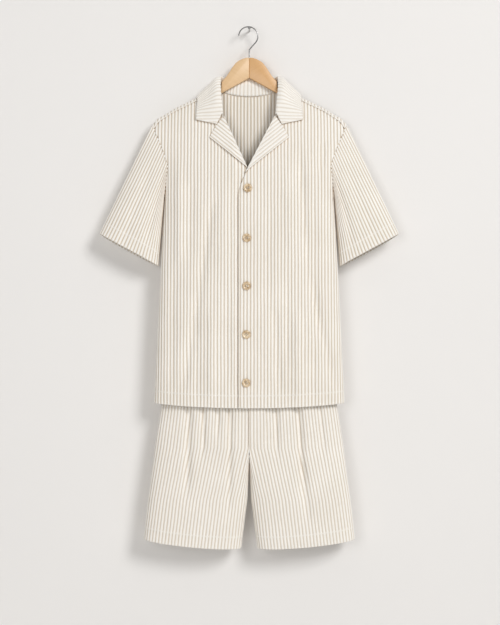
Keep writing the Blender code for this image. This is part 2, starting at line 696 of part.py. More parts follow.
def sleeve_grid(share, rows):
    """The left sleeve: from the armhole, SEAM_GAP off it, to the hem."""
    ring = resampled(armhole_ring(), share)
    hem = sleeve_hem(share)
    way = hem - ring
    way /= np.linalg.norm(way, axis=1, keepdims=True)
    ring = ring + np.array([2.4 * SEAM_GAP, 0, 0]) + way * SEAM_GAP
    grid = []
    for at in rows:
        line = ring + (hem - ring) * at
        swell = math.sin(math.pi * at) * 3.0
        push = swell - fold_depth(SLEEVE_FOLDS, share, np.full_like(share, at))
        outward = -np.sign(np.sin(2 * math.pi * share)) * np.abs(np.sin(2 * math.pi * share)) ** 0.6
        grid.append(line + np.stack([0 * share, outward * push, 0 * share], -1))
    return np.array(grid)


def sleeve(name, side, place):
    share = np.arange(SLEEVE_CELLS * COLUMNS_PER_CELL) / (SLEEVE_CELLS * COLUMNS_PER_CELL)
    grid = sleeve_grid(share, SLEEVE_ROWS)
    grid[..., 0] *= side
    outward = grid - grid.mean(axis=1, keepdims=True)
    return cloth_wall(name, grid, outward, place, closed=True)


def smooth_line(at, places, points):
    """Points read from one smooth curve through the given ones."""
    places, points = np.array(places, float), np.array(points, float)
    slope = np.gradient(points, places, axis=0)
    index = np.clip(np.searchsorted(places, at) - 1, 0, len(places) - 2)
    span = (places[index + 1] - places[index])[:, None]
    t = ((at - places[index]) / span[:, 0])[:, None]
    start, end = points[index], points[index + 1]
    return (
        start * (2 * t ** 3 - 3 * t ** 2 + 1)
        + slope[index] * span * (t ** 3 - 2 * t ** 2 + t)
        + end * (3 * t ** 2 - 2 * t ** 3)
        + slope[index + 1] * span * (t ** 3 - t ** 2)
    )


def collar_line(name, at):
    """A named line of the collar along its whole length, from -1 to 1 with the middle of the back at 0."""
    half = [getattr(row, name) for row in COLLAR]
    places = [row.at for row in COLLAR]
    mirrored = [(-point[0], *point[1:]) for point in half[:0:-1]] + half
    return smooth_line(at, [-place for place in places[:0:-1]] + places, mirrored)


def collar_grid(at):
    """Rows of the collar's right side, from the neck seam up the stand, over the fold and down to the edge."""
    neck, fold = collar_line("neck", at), collar_line("fold", at)
    x, over = collar_line("edge", at).T
    angle = np.clip(over / SHOULDER_RADIUS, -math.pi / 2, math.pi / 2)
    lift = unit(np.stack([SHOULDER_SLOPE * np.sign(x) * np.cos(angle), -np.sin(angle), np.cos(angle)], -1))
    edge = shoulder_point(x, over) + lift * (COLLAR_CLEAR + COLLAR_WALL)
    down = unit((neck + edge) / 2 - fold)
    along = unit(np.gradient(fold, axis=0))
    down = unit(down - along * np.sum(down * along, -1, keepdims=True))
    across = np.cross(along, down)
    across = across * np.sign(np.sum(across * (edge - neck), -1, keepdims=True))
    low = smooth((np.abs(at) - 0.62) / 0.2)[:, None]
    neck = neck * (1 - low) + (fold + down * STAND_UNDER - across * FOLD_RADIUS) * low
    inner_turn = fold + down * FOLD_DROP - across * FOLD_RADIUS
    outer_turn = fold + down * FOLD_DROP + across * FOLD_RADIUS
    middle = (outer_turn + edge) / 2 + unit(lift + across) * 1.6
    corner_x = np.sign(at) * NOTCH[0]
    corner_y = face_y(-1, corner_x, np.full_like(at, NOTCH[1])) - COLLAR_CLEAR - COLLAR_WALL
    corner = np.stack([corner_x, corner_y, np.full_like(at, NOTCH[1])], -1)
    turn_in = smooth((np.abs(at) - 0.82) / 0.18)[:, None]
    middle = middle * (1 - turn_in) + corner * turn_in
    grid = np.array([neck, inner_turn, fold, outer_turn, middle, edge])
    outward = np.array([-across, -across, -down, across, unit(across + lift), lift])
    return grid, outward


def collar(name, place):
    ends = [-end for end in COLLAR_CELL_ENDS[:0:-1]] + list(COLLAR_CELL_ENDS)
    count = len(ends) - 1
    at = np.interp(np.linspace(0, count, count * COLUMNS_PER_CELL + 1), np.arange(count + 1), ends)
    grid, outward = collar_grid(at)
    return cloth_wall(name, grid, outward, place, thickness=COLLAR_WALL, relief=COLLAR_RELIEF)


def lapel_grid(apart, rows, foot, side, panel):
    """Lines of a lapel, each parallel to its free edge and apart times its width from it.

    A row is a share of the way from the top edge to the roll; the two last rows turn over the cut edge.
    """
    tip, notch, gorge, foot = map(np.array, (LAPEL_TIP, NOTCH_LAPEL, LAPEL_GORGE, foot))
    way = (foot - tip) / np.linalg.norm(foot - tip)
    square = np.array([-way[1], way[0]])
    width_gorge, width_notch = (gorge - tip) @ square, (notch - tip) @ square
    share_notch = width_notch / width_gorge
    on_tip = np.minimum(apart / share_notch, 1)[:, None]
    on_gorge = np.clip((apart - share_notch) / (1 - share_notch), 0, 1)[:, None]
    top = tip + (notch - tip) * on_tip + (gorge - notch) * on_gorge
    roll = foot + (gorge - foot) * apart[:, None]
    grid = []
    for row in rows:
        flat = top + (roll - top) * row
        x, z = flat[:, 0] * side, flat[:, 1]
        lift = LAPEL_LIFT + LAPEL_WALL + 1.4 * math.sin(math.pi * row)
        grid.append(np.stack([x, depth_on(panel, x, z) - lift, z], -1))
    lip = grid[-1] + np.array([0, LAPEL_LIFT + LAPEL_WALL + WALL - 0.2, 0])
    grid[-1] = grid[-1] + np.array([0, 0.4, 0])
    return np.array(grid + [lip])


def lapel(name, foot, side, place):
    apart = np.linspace(0, 0.93, LAPEL_CELLS * COLUMNS_PER_CELL + 1)
    panel = front_points(ROLL_FOOT_LEFT if side > 0 else ROLL_FOOT_RIGHT)
    grid = lapel_grid(apart, LAPEL_ROWS, foot, side, panel)
    outward = np.broadcast_to(np.array([0.0, -1, 0]), grid.shape).copy()
    outward[-2:] = (-side, -0.6, 0)
    return cloth_wall(name, grid, outward, place, thickness=LAPEL_WALL, relief=LAPEL_RELIEF)


def turned(name, profile, steps, finish, place):
    """A turned shape about Z: the profile is radius and height, in order down its outer side."""
    mesh = bpy.data.meshes.new(name)
    points = [(radius * MM, 0, height * MM) for radius, height in profile]
    mesh.from_pydata(points, [(step, step + 1) for step in range(len(points) - 1)], [])
    made = add_object(name, mesh, finish, place)
    screw = made.modifiers.new("turn", "SCREW")
    screw.steps = screw.render_steps = steps
    screw.use_merge_vertices = True
    screw.merge_threshold = 0.00001
    screw.use_smooth_shade = True
    return made


def cylinder(name, radius, depth, steps, place):
    """A plain cylinder about Z, for cutting."""
    mesh = bpy.data.meshes.new(name)
    shape = bmesh.new()
    bmesh.ops.create_cone(
        shape, cap_ends=True, segments=steps, radius1=radius * MM, radius2=radius * MM, depth=depth * MM
    )
    shape.to_mesh(mesh)
    shape.free()
    made = bpy.data.objects.new(name, mesh)
    made.hide_render = True
    made.display_type = "WIRE"
    place.objects.link(made)
    return made


def cut(target, cutter):
    boolean = target.modifiers.new("cut", "BOOLEAN")
    boolean.operation = "DIFFERENCE"
    boolean.solver = "EXACT"
    boolean.object = cutter


def button(name, x, z, place, cutters):
    """A dished four-hole button that lies on the front's ribs and faces the viewer."""
    horn = material("horn", BUTTON_COLOUR, 0.35)
    made = turned(name, BUTTON_PROFILE, 16, horn, place)
    reach = np.linspace(-BUTTON_RADIUS, BUTTON_RADIUS, 5)
    around = np.meshgrid(x + reach, z + reach)
    back_y = depth_on(front_points(ROLL_FOOT_LEFT), *map(np.ravel, around)).min() - SEAM_GAP
    made.location = Vector((x, float(back_y), z)) * MM
    made.rotation_euler = (math.radians(90), 0, 0)
    for across in (-1, 1):
        for up in (-1, 1):
            hole = cylinder(f"{name}_hole_{across}_{up}", BUTTON_HOLE_RADIUS, 12, 6, cutters)
            hole.location = (across * BUTTON_HOLE_SPREAD * MM, up * BUTTON_HOLE_SPREAD * MM, 0)
            hole.parent = made
            cut(made, hole)
    return made


def shorts_columns(share, row, side):
    """Points of a shorts panel with positive x. share runs from the centre seam or inseam to the side seam.

    Rows are the hem, SHORTS_ROWS, the crotch row, SHORTS_UPPER_ROWS and the foot of the waistband.
    """
    crotch_row = 1 + len(SHORTS_ROWS)
    crotch_share = CROTCH_CELLS / SHORTS_CELLS

    def leg(z):
        half, inner = column(SHORTS, "half_width", z), column(SHORTS, "inner", z)
        reach = LEG_QUARTER.total(z)
        run = -reach + SEAM_GAP / 2 + (2 * reach - SEAM_GAP) * share
        x, deep = LEG_QUARTER.at(np.abs(run) / reach, z)
        middle, _ = mid_and_depth(SHORTS, z)
        return (half + inner) / 2 + np.sign(run) * x, middle + side * deep

    def seat(z):
        part = np.clip((share - crotch_share) / (1 - crotch_share), 0, 1)
        reach = SHORTS_QUARTER.total(z) - SEAM_GAP / 2
        x, deep = SHORTS_QUARTER.at(part * reach / SHORTS_QUARTER.total(z), z)
        middle, _ = mid_and_depth(SHORTS, z)
        return np.maximum(x, HALF_GAP + 0.1), middle + side * deep

    def crotch():
        z = np.full_like(share, CROTCH_Z + CROTCH_RISE)
        x, y = seat(z)
        turn = np.clip(share / crotch_share, 0, 1) * math.pi / 2
        middle, deep = mid_and_depth(SHORTS, z)
        under = share < crotch_share
        around = middle + side * np.maximum(deep * np.sin(turn) ** (2 / SHORTS_POWER), SEAM_GAP / 2)
        drop = CROTCH_RISE * np.maximum(np.cos(turn), 0) ** (2 / SHORTS_POWER)
        return np.where(under, HALF_GAP + 0.1, x), np.where(under, around, y), np.where(under, z - drop, z)

    def level(index):
        if index == 0:
            x, _ = leg(np.full_like(share, SHORTS_HEM["side"]))
            return hem_z(dict(side=SHORTS_HEM["side"], middle=SHORTS_HEM["inner"]), x, 240)
        if index < crotch_row:
            return np.full_like(share, SHORTS_ROWS[index - 1])
        heights = (CROTCH_Z + CROTCH_RISE,) + SHORTS_UPPER_ROWS + (BAND_BOTTOM - SEAM_GAP,)
        return np.full_like(share, heights[min(index - crotch_row, len(heights) - 1)])

    index = int(row)
    part = row - index
    if index < crotch_row:
        low = level(index)
        if index + 1 < crotch_row:
            z = low + (level(index + 1) - low) * part
            return *leg(z), z
        x0, y0 = leg(low)
        x1, y1, z1 = crotch()
        return x0 + (x1 - x0) * part, y0 + (y1 - y0) * part, low + (z1 - low) * part
    if row == crotch_row:
        return crotch()
    z = level(index) + (level(index + 1) - level(index)) * part
    return *seat(z), z


def shorts_grid(share, rows, side, hand, fly):
    grid = []
    for row in rows:
        x, y, z = shorts_columns(share, row, side)
        middle, deep = mid_and_depth(SHORTS, z)
        facing = np.clip((side * (y - middle) / deep - 0.5) / 0.5, 0, 1)
        push = fold_depth(SHORTS_FRONT_FOLDS if side < 0 else SHORTS_BACK_FOLDS, x * hand, z)
        y = y - side * push * facing
        if fly:
            y = y - FLY_RAISE * smooth((FLY_WIDTH + 3 - x) / 4) * smooth((z - FLY_FOOT_Z) / 12) * facing
        grid.append(np.stack([x * hand, y, z], -1))
    return np.array(grid)


def shorts_panel(name, side, hand, fly, place):
    share = np.linspace(0, 1, SHORTS_CELLS * COLUMNS_PER_CELL + 1)
    rows = list(range(1 + len(SHORTS_ROWS) + 1 + len(SHORTS_UPPER_ROWS) + 1))
    grid = shorts_grid(share, rows, side, hand, fly)
    cells = np.ones((len(rows) - 1, SHORTS_CELLS), bool)
    cells[1 + len(SHORTS_ROWS):, :CROTCH_CELLS] = False
    outward = np.broadcast_to(np.array([0.0, side, 0]), grid.shape).copy()
    outward[..., 0] = hand * 0.4 * np.sign(share - 0.5)[None, :]
    return cloth_wall(name, grid, outward, place, cells)


def waistband(name, place):
    """The elastic band: a ring whose gathers are its ribs."""
    count = BAND_CELLS * COLUMNS_PER_CELL
    turn = np.arange(count) / count * 4
    corner = np.floor(turn).astype(int)
    part = np.where(corner % 2 == 0, turn - corner, 1 - (turn - corner))
    grid = []
    for z in (BAND_BOTTOM, BAND_TOP):
        level = np.full(count, z)
        x, deep = SHORTS_QUARTER.at(part, level)
        middle, _ = mid_and_depth(SHORTS, level)
        right = np.where(corner < 2, 1, -1)
        front = np.where((corner == 0) | (corner == 3), -1, 1)
        grid.append(np.stack([right * x, middle + front * deep, level], -1))
    grid = np.array(grid)
    outward = grid - grid.mean(axis=1, keepdims=True)
    return cloth_wall(name, grid, outward, place, closed=True)


def hanger_outline():
    """One half of the hanger seen from the front, from the middle of its top round to the middle below."""
    xs = np.linspace(97, HANGER_TIP_X - 6, 6)
    shoulder = [(x, float(ridge_z(x)) - HANGER_UNDER_SHOULDER) for x in xs]
    last = HANGER_LOWER[-1]
    centre = ((HANGER_TIP_X - 10), (shoulder[-1][1] + last[1]) / 2 + 1)
    round_end = [
        (centre[0] + 10 * math.cos(angle), centre[1] + 9 * math.sin(angle))
        for angle in np.radians((30, 0, -30, -60))
    ]
    return list(HANGER_TOP) + shoulder + round_end + list(HANGER_LOWER[::-1])


def hanger_half(name, side, finish, place, bore):
    outline = [(max(x, HALF_GAP) * side, z) for x, z in hanger_outline()]
    mesh = bpy.data.meshes.new(name)
    points = [(x * MM, HANG_Y * MM, z * MM) for x, z in outline]
    mesh.from_pydata(points, [], [tuple(range(len(points)))])
    made = add_object(name, mesh, finish, place)
    solid = made.modifiers.new("thickness", "SOLIDIFY")
    solid.thickness = HANGER_THICKNESS * MM
    solid.offset = 0
    bevel = made.modifiers.new("edges", "BEVEL")
    bevel.width = HANGER_EDGE * MM
    bevel.segments = 2
    bevel.limit_method = "ANGLE"
    bevel.angle_limit = math.radians(60)
    cut(made, bore)
    return made


def hook_points():
    """The hook's centre line: round from its open tip, a reverse bend, and straight down the stem."""
    centre = Vector((HOOK_CENTRE_X, 0, PIN_RADIUS + SEAM_GAP + WIRE_RADIUS - HOOK_RADIUS + 0.12))
    arc = [
        centre + HOOK_RADIUS * Vector((math.cos(angle), 0, math.sin(angle)))
        for angle in np.radians(np.linspace(176, -42, 20))
    ]
    start, stem = arc[-1], Vector((0, 0, STEM_FOOT_Z))
    leave = start + 6 * Vector((-math.sin(math.radians(42)), 0, -math.cos(math.radians(42)))).normalized()
    join = Vector((0, 0, start.z - 16))
    bend = []
    for step in range(1, 6):
        t = step / 5
        bend.append((1 - t) ** 2 * start + 2 * t * (1 - t) * leave + t ** 2 * join)
    return [point + Vector((0, HANG_Y, 0)) for point in arc + bend + [stem]]


def hook(name, finish, place):
    curve = bpy.data.curves.new(name, "CURVE")
    curve.dimensions = "3D"
    curve.bevel_depth = WIRE_RADIUS * MM
    curve.bevel_resolution = 2
    curve.use_fill_caps = True
    points = hook_points()
    spline = curve.splines.new("POLY")
    spline.points.add(len(points) - 1)
    for target, point in zip(spline.points, points):
        target.co = (*(point * MM), 1.0)
    made = bpy.data.objects.new(name, curve)
    curve.materials.append(finish)
    place.objects.link(made)
    return made


def wall_pin(name, finish, place):
    """The pin in the wall, along Y, with its root on the wall at the origin."""
    profile = ((0, PIN_LENGTH), (PIN_HEAD_RADIUS - 0.8, PIN_LENGTH), (PIN_HEAD_RADIUS, PIN_LENGTH - 0.6),
               (PIN_HEAD_RADIUS, PIN_LENGTH - 1.6), (PIN_RADIUS, PIN_LENGTH - 2.0), (PIN_RADIUS, 0), (0, 0))
    made = turned(name, profile, 20, finish, place)
    made.rotation_euler = (math.radians(90), 0, 0)
    return made


def clear_scene():
    for old in list(bpy.data.objects):
        bpy.data.objects.remove(old, do_unlink=True)
    for old in list(bpy.data.collections):
        bpy.data.collections.remove(old)


def new_collection(name):
    made = bpy.data.collections.new(name)
    bpy.context.scene.collection.children.link(made)
    return made


def build_shirt(place, cutters):
    front_panel("shirt_front_left", ROLL_FOOT_LEFT, place)
    front_panel("shirt_front_right", ROLL_FOOT_RIGHT, place)
    back_panel("shirt_back", place)
    sleeve("sleeve_left", 1, place)
    sleeve("sleeve_right", -1, place)
    collar("collar", place)
    lapel("lapel_left", LAPEL_FOOT_LEFT, 1, place)
    lapel("lapel_right", LAPEL_FOOT_RIGHT, -1, place)
    for number, (x, z) in enumerate(BUTTON_X_Z, start=1):
        button(f"button_{number}", x, z, place, cutters)


def build_shorts(place):
    shorts_panel("shorts_front_left", -1, 1, True, place)
    shorts_panel("shorts_front_right", -1, -1, False, place)
    shorts_panel("shorts_back_left", 1, 1, False, place)
    shorts_panel("shorts_back_right", 1, -1, False, place)
    waistband("shorts_waistband", place)


def build_hanger(place, cutters):
    steel = material("steel", STEEL_COLOUR, 0.25, metallic=1.0)
    bore = cylinder("stem_bore", STEM_BORE_RADIUS, 40, 16, cutters)
    bore.location = Vector((0, HANG_Y, STEM_FOOT_Z - SEAM_GAP + 20)) * MM
    hanger_half("hanger_arm_left", 1, material("wood_dark", WOOD_DARK, 0.45), place, bore)
    hanger_half("hanger_arm_right", -1, material("wood_light", WOOD_LIGHT, 0.45), place, bore)
    hook("hanger_hook", steel, place)
    wall_pin("wall_pin", steel, place)


def main():
    clear_scene()
    place = new_collection("shirt_and_shorts_set")
    cutters = new_collection("cutters")
    build_shirt(place, cutters)
    build_shorts(place)
    build_hanger(place, cutters)


main()
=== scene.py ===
"""The ribbed shirt and shorts set on its hanger: cloth, stitching, buttons, wood, light and camera.

The origin is the root of the wall pin. +X is the viewer's right, +Y goes into the wall and +Z is up. The
tables are in millimetres and become metres when a mesh is made. "Left" and "right" are the wearer's, so a
left piece has positive X.
"""

import functools
import math
from collections import namedtuple

import bmesh
import bpy
import numpy as np
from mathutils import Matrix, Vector


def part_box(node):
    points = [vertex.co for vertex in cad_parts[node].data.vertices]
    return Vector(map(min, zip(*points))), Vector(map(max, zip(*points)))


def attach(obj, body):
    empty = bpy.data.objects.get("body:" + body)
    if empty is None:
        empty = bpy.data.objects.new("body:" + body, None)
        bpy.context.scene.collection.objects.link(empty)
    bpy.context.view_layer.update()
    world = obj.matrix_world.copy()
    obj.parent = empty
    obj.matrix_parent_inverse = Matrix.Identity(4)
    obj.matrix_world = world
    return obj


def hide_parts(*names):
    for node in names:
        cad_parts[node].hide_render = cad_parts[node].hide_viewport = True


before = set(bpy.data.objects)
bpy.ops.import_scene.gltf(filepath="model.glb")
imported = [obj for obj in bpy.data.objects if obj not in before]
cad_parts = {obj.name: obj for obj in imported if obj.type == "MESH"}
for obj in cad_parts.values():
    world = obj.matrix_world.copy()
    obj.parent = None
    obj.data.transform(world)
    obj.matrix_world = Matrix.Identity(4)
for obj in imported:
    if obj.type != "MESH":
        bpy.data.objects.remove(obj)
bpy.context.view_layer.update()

MM = 0.001
SEAM_GAP = 0.3
HALF_GAP = SEAM_GAP / 2


def records(kind, *rows):
    """Rows of plain values as named records."""
    return [kind(*row) for row in rows]


# Cloth
RIB_PITCH = 7.6
RIB_RELIEF = 1.5
RIBS_PER_CELL = 2
SAMPLES = 6
COLUMNS = RIBS_PER_CELL * SAMPLES
CLOTH = 1.2
DOUBLE_CLOTH = 2.0
WALL = 2.7
HEM_BAND = 40.0
HEM_STITCH = 27.5
HEM_OFFSETS = (0, 0.6, 1.4, 3, 8, 14, 20, 24.5, 26.2, 27.0, 27.5, 28.0, 28.8, 30.5, 34, 40)
HEM_ROWS = np.array(HEM_OFFSETS) / HEM_BAND
FAR_FROM_HEM = 1000.0
STITCH_REACH = 1.4
STITCH_PRESS = 0.55
EDGE_REACH = 5.0
EDGE_PRESS = 0.3
ROLL_DEPTH = 0.8
ROLL_REACH = 1.5
GROOVE_POWER = 1.4
DEPTH_RIPPLE = 0.15
SIDE_RIPPLE = 0.3
MERGE_REACH = 0.004
FRONT_FINE = ((0, 56), (3, 22))
BACK_FINE = ((0, 52), (2, 14), (4, 20))
SLEEVE_FINE = 30
SHORTS_FINE = ((0, 26), (2, 28))
TUCK = 3.5

# Hanging line: the hanger, and the shirt's shoulders, lie in this plane in front of the wall
HANG_Y = -30.0
SHOULDER_RADIUS = 10.0

# Shirt sections from hem to armpit: half width, front and back face at that height
Section = namedtuple("Section", "z half_width front back")
SHIRT = records(
    Section,
    (-862, 215.5, -93, -12),
    (-707, 207.6, -93, -12),
    (-543, 199.5, -90, -12),
    (-450, 194.0, -86, -13),
    (-390, 190.5, -80, -14),
)
SHIRT_POWER = 3.2
SHIRT_DRAW_IN = 1.6
PIT_Z = -390.0
FRONT_HEM = dict(side=-846.0, middle=-859.0)
BACK_HEM = dict(side=-846.0, middle=-851.0)
HEM_HALF = 215.0
SHIRT_ROWS = (-720.0, -580.0, -440.0)
LOW_ROWS = len(SHIRT_ROWS) + 2

# Shoulder line, from the neck to the shoulder tip
Ridge = namedtuple("Ridge", "x z")
RIDGE = records(
    Ridge,
    (0.0, -110.0),
    (72.7, -127.5),
    (115.6, -155.3),
    (170.7, -181.5),
    (205.0, -204.0),
    (224.0, -232.0),
)

# Armhole: where it leaves the side fold, and how the shoulder spreads out to its tip
FOLD_Z = -313.7
FAN_START = 100.0
FAN_END = 190.0
FAN_OUT = 36.0
FAN_POWER = 1.5
TIP_BULGE = 6.0
TIP_START = 185.0
TIP_RUN = 35.0
SIDE_CELLS = 2
SIDE_REACH = 35.0
FOLD_PUSH = 6.0
PUSH_START = 120.0
PUSH_RUN = 60.0
COLUMN_POWER = 1.2

# Button edge, V neck and neckline
EDGE_X = -24.0
EDGE_TURN_Z = -386.0
EDGE_POWER = 1.7
GORGE = (58.0, -200.7)
GORGE_END = (62.0, -199.7)
ARM_DROP = 16.0
ROLL_FOOT_LEFT = (-2.5, -324.0)
ROLL_FOOT_RIGHT = (7.0, -324.0)
NECK_HALF = 72.0
NECK_END = 74.0
OVERLAP = 24.0
OVERLAP_DROP = 3.5
NECKLINE_X = (0, 40, 62, 66)
NECKLINE_Z = (-151.0, -148.0, -140.5, -132.5)
NECK_STEP = 9.0
BACK_TURN = math.radians(176)
FRONT_CELLS = round((HEM_HALF + OVERLAP + SIDE_REACH) / (RIB_PITCH * RIBS_PER_CELL))
BACK_HALF_CELLS = round((HEM_HALF + SIDE_REACH) / (RIB_PITCH * RIBS_PER_CELL))

# Sleeve
SLEEVE_HEM_OUTER = (339.0, -469.5)
SLEEVE_HEM_INNER = (204.8, -542.4)
SLEEVE_HEM_DEPTH = 54.0
SLEEVE_MIDDLE_Y = -46.0
SLEEVE_POWER = 2.5
SLEEVE_CELLS = 22
SLEEVE_SAG = (2.5, 1.5)
SLEEVE_PUFF = 3.0

# Collar, half of it from the middle of the back to the gorge: seam, fold and free edge
CollarStation = namedtuple("CollarStation", "at neck fold edge")
COLLAR = records(
    CollarStation,
    (0.00, (0, -22.6, -149.9), (0, -19.5, -112), (0, -75.5)),
    (0.15, (32, -22.6, -147.3), (29, -19.5, -111.5), (46, -62)),
    (0.30, (56, -21.8, -140.6), (52, -19.8, -110.2), (88, -44)),
    (0.41, (65.0, -24.4, -129.0), (61.5, -24.2, -108.8), (108, -16)),
    (0.50, (67.0, -35, -130.0), (63.6, -34, -109.6), (115.5, 1)),
    (0.62, (69.0, -44, -147), (64.4, -43, -128), (118.5, 17)),
    (0.80, (64.2, -49.5, -172), (62.0, -53, -162), (120.5, 37)),
    (1.00, (59.5, -55, -198), (58.0, -58.5, -198), (121.4, 58)),
)
COLLAR_CELL_ENDS = (
    0, 0.08, 0.16, 0.24, 0.3, 0.345, 0.385, 0.425, 0.465, 0.505, 0.55, 0.61, 0.69, 0.79, 0.89, 1,
)
COLLAR_ROWS = (10, 4, 4, 14, 16)
TURN_ROWS = 3
COLLAR_CLEAR = 2.4
COLLAR_BELLY = 1.6
SHOULDER_SLOPE = 0.56
FOLD_RADIUS = 3.0
FOLD_DROP = 3.5
COLLAR_WALL = 2.4
STAND_UNDER = 8.0
NOTCH = (73.1, -221.5)

# Where along the collar something sets in, and over how long a stretch
BEHIND_END = (0.3, 0.1)
STAND_END = (0.62, 0.2)
LEVEL_FRONT = (0.58, 0.36)
STRAIGHT_FRONT = (0.8, 0.12)
CORNER_TURN = (0.82, 0.18)

# Lapel
LAPEL_TIP = (89.6, -251.2)
LAPEL_LIFT = 0.7
LAPEL_WALL = 2.4
LAPEL_BELLY = 1.4
LAPEL_LIP = LAPEL_LIFT + LAPEL_WALL + WALL - 0.2
LAPEL_SINK = 0.4
LAPEL_CELLS = 4
LAPEL_END = 0.985
LAPEL_FOOT_LEFT = (-9.2, -330.6)
LAPEL_FOOT_RIGHT = (3.6, -320.4)
NOTCH_LAPEL = (73.4, -222.8)
LAPEL_GORGE = (57.6, -201.6)

# Shorts sections from hem to waist, and the waistband and fly
ShortsSection = namedtuple("ShortsSection", "z half_width inner front back")
SHORTS = records(
    ShortsSection,
    (-1182, 241.0, 18.6, -87, -15),
    (-1122, 234.5, 11.3, -86, -16),
    (-1066, 228.0, 3.9, -85, -17),
    (-987, 218.6, 0.5, -83, -18),
    (-850, 197.6, 0.0, -79, -19),
    (-729, 171.0, 0.0, -78, -16.5),
    (-690, 168.0, 0.0, -77, -15.2),
)
SHORTS_POWER = 3.0
SHORTS_HEM = dict(side=-1155.0, middle=-1176.0)
SHORTS_HEM_HALF = 240.0
CROTCH_Z = -987.0
CROTCH_RISE = 38.0
CROTCH_CELLS = 3
CROTCH_GAP = HALF_GAP + 0.1
SHORTS_CELLS = 20
SHORTS_COLUMNS = 11
SHORTS_RIBS = 34.5
SHORTS_RELIEF = 0.85
SHORTS_ROWS = (-1065.0,)
CROTCH_ROW = len(SHORTS_ROWS) + 2
SHORTS_UPPER_ROWS = (-855.0,)
BAND_TOP = -693.5
BAND_BOTTOM = -728.5
BAND_CELLS = 40
FLY_WIDTH = 35.0
FLY_FOOT_Z = -952.0
FLY_RAISE = 2.2
FLY_PAST = 3
FLY_STEP = 4
FLY_RISE = 12
FLY_TURN_Z = -932.0
FLY_STITCH_FOOT = -948.0
FLY_ROWS = 56

# Folds: a soft trough (depth above zero) or ridge along a line from top to foot. On the sleeves x is the
# share of the way round and z the share of the way down.
Fold = namedtuple("Fold", "x_top z_top x_foot z_foot half_width depth")
FOLD_PAST = 0.12
FOLD_FADE = 0.3
FRONT_FOLDS = records(
    Fold,
    (112, -290, 131, -560, 10.4, 7.2),
    (131, -560, 186, -800, 12.0, 6.5),
    (164, -265, 162, -330, 7.2, 4.7),
    (56, -640, 66, -820, 9.6, 4.7),
    (107, -650, 108, -845, 10.4, -4.3),
    (-84, -400, -111, -590, 11.2, 5.8),
    (-111, -590, -147, -810, 12.0, 6.1),
    (-158, -310, -157, -540, 9.6, -4.3),
    (-84, -650, -86, -845, 10.4, -4.3),
    (142, -380, 150, -700, 10, 3.4),
    (86, -330, 92, -520, 11, -2.6),
    (84, -560, 84, -760, 10, 2.8),
    (44, -400, 40, -610, 11, 2.0),
    (144, -700, 140, -850, 9, 3.0),
    (-56, -350, -64, -560, 12, -2.4),
    (-130, -350, -134, -520, 10, 2.8),
    (-50, -600, -50, -800, 10, 2.6),
    (-116, -660, -116, -850, 9, 2.8),
    (-170, -560, -174, -830, 9, 2.6),
)
BACK_FOLDS = records(
    Fold,
    (-120, -270, -96, -560, 15, -3.4),
    (118, -300, 142, -640, 15, -3.0),
    (22, -430, 34, -800, 14, -2.6),
    (-150, -620, -164, -830, 13, -2.8),
)
SLEEVE_FOLDS = records(
    Fold,
    (0.30, 0.10, 0.36, 0.85, 0.035, 3.6),
    (0.17, 0.25, 0.20, 1.0, 0.030, 1.9),
    (0.78, 0.15, 0.72, 0.9, 0.035, 3.1),
)
SHORTS_FRONT_FOLDS = records(
    Fold,
    (-134, -730, -140, -1045, 8.2, 9.9),
    (-102, -730, -104, -960, 6.0, 7.5),
    (-70, -730, -71, -920, 6.0, 6.4),
    (-43, -730, -46, -1090, 6.8, 7.0),
    (58, -730, 60, -960, 6.8, 7.0),
    (100, -730, 120, -1045, 8.2, 11.0),
    (120, -985, 131, -1110, 9.5, 4.6),
    (150, -730, 166, -965, 6.8, 7.5),
)
SHORTS_BACK_FOLDS = records(
    Fold,
    (-128, -730, -142, -1020, 8.2, 8.7),
    (-84, -730, -90, -960, 6.8, 7.0),
    (-34, -730, -36, -980, 6.8, 7.0),
    (46, -730, 50, -950, 6.8, 7.0),
    (92, -730, 104, -1040, 8.2, 9.3),
    (140, -730, 154, -980, 6.8, 7.0),
)

Surface = namedtuple("Surface", "piece points normal ribs")
Lines = namedtuple("Lines", "grid normal sideways ribs")


def smooth(value):
    """Eases from 0 to 1 as value goes from 0 to 1."""
    t = np.clip(value, 0.0, 1.0)
    return t * t * (3 - 2 * t)


def eased(at, stretch):
    """Eases from 0 to 1 along a stretch of the collar, from its start and over its length."""
    return smooth((np.abs(at) - stretch[0]) / stretch[1])


def column(table, name, at, by="z"):
    """A named column of a table, read at a place between its rows."""
    rows = sorted(table, key=lambda row: getattr(row, by))
    return np.interp(at, [getattr(row, by) for row in rows], [getattr(row, name) for row in rows])


def fold_depth(folds, x, z):
    """How far the folds push the cloth in at a place."""
    total = np.zeros(np.broadcast(x, z).shape)
    for fold in folds:
        along = (z - fold.z_top) / (fold.z_foot - fold.z_top)
        centre = fold.x_top + (fold.x_foot - fold.x_top) * along
        ends = smooth((along + FOLD_PAST) / FOLD_FADE) * smooth((1 + FOLD_PAST - along) / FOLD_FADE)
        total = total + fold.depth * ends * np.exp(-(((x - centre) / fold.half_width) ** 2))
    return total


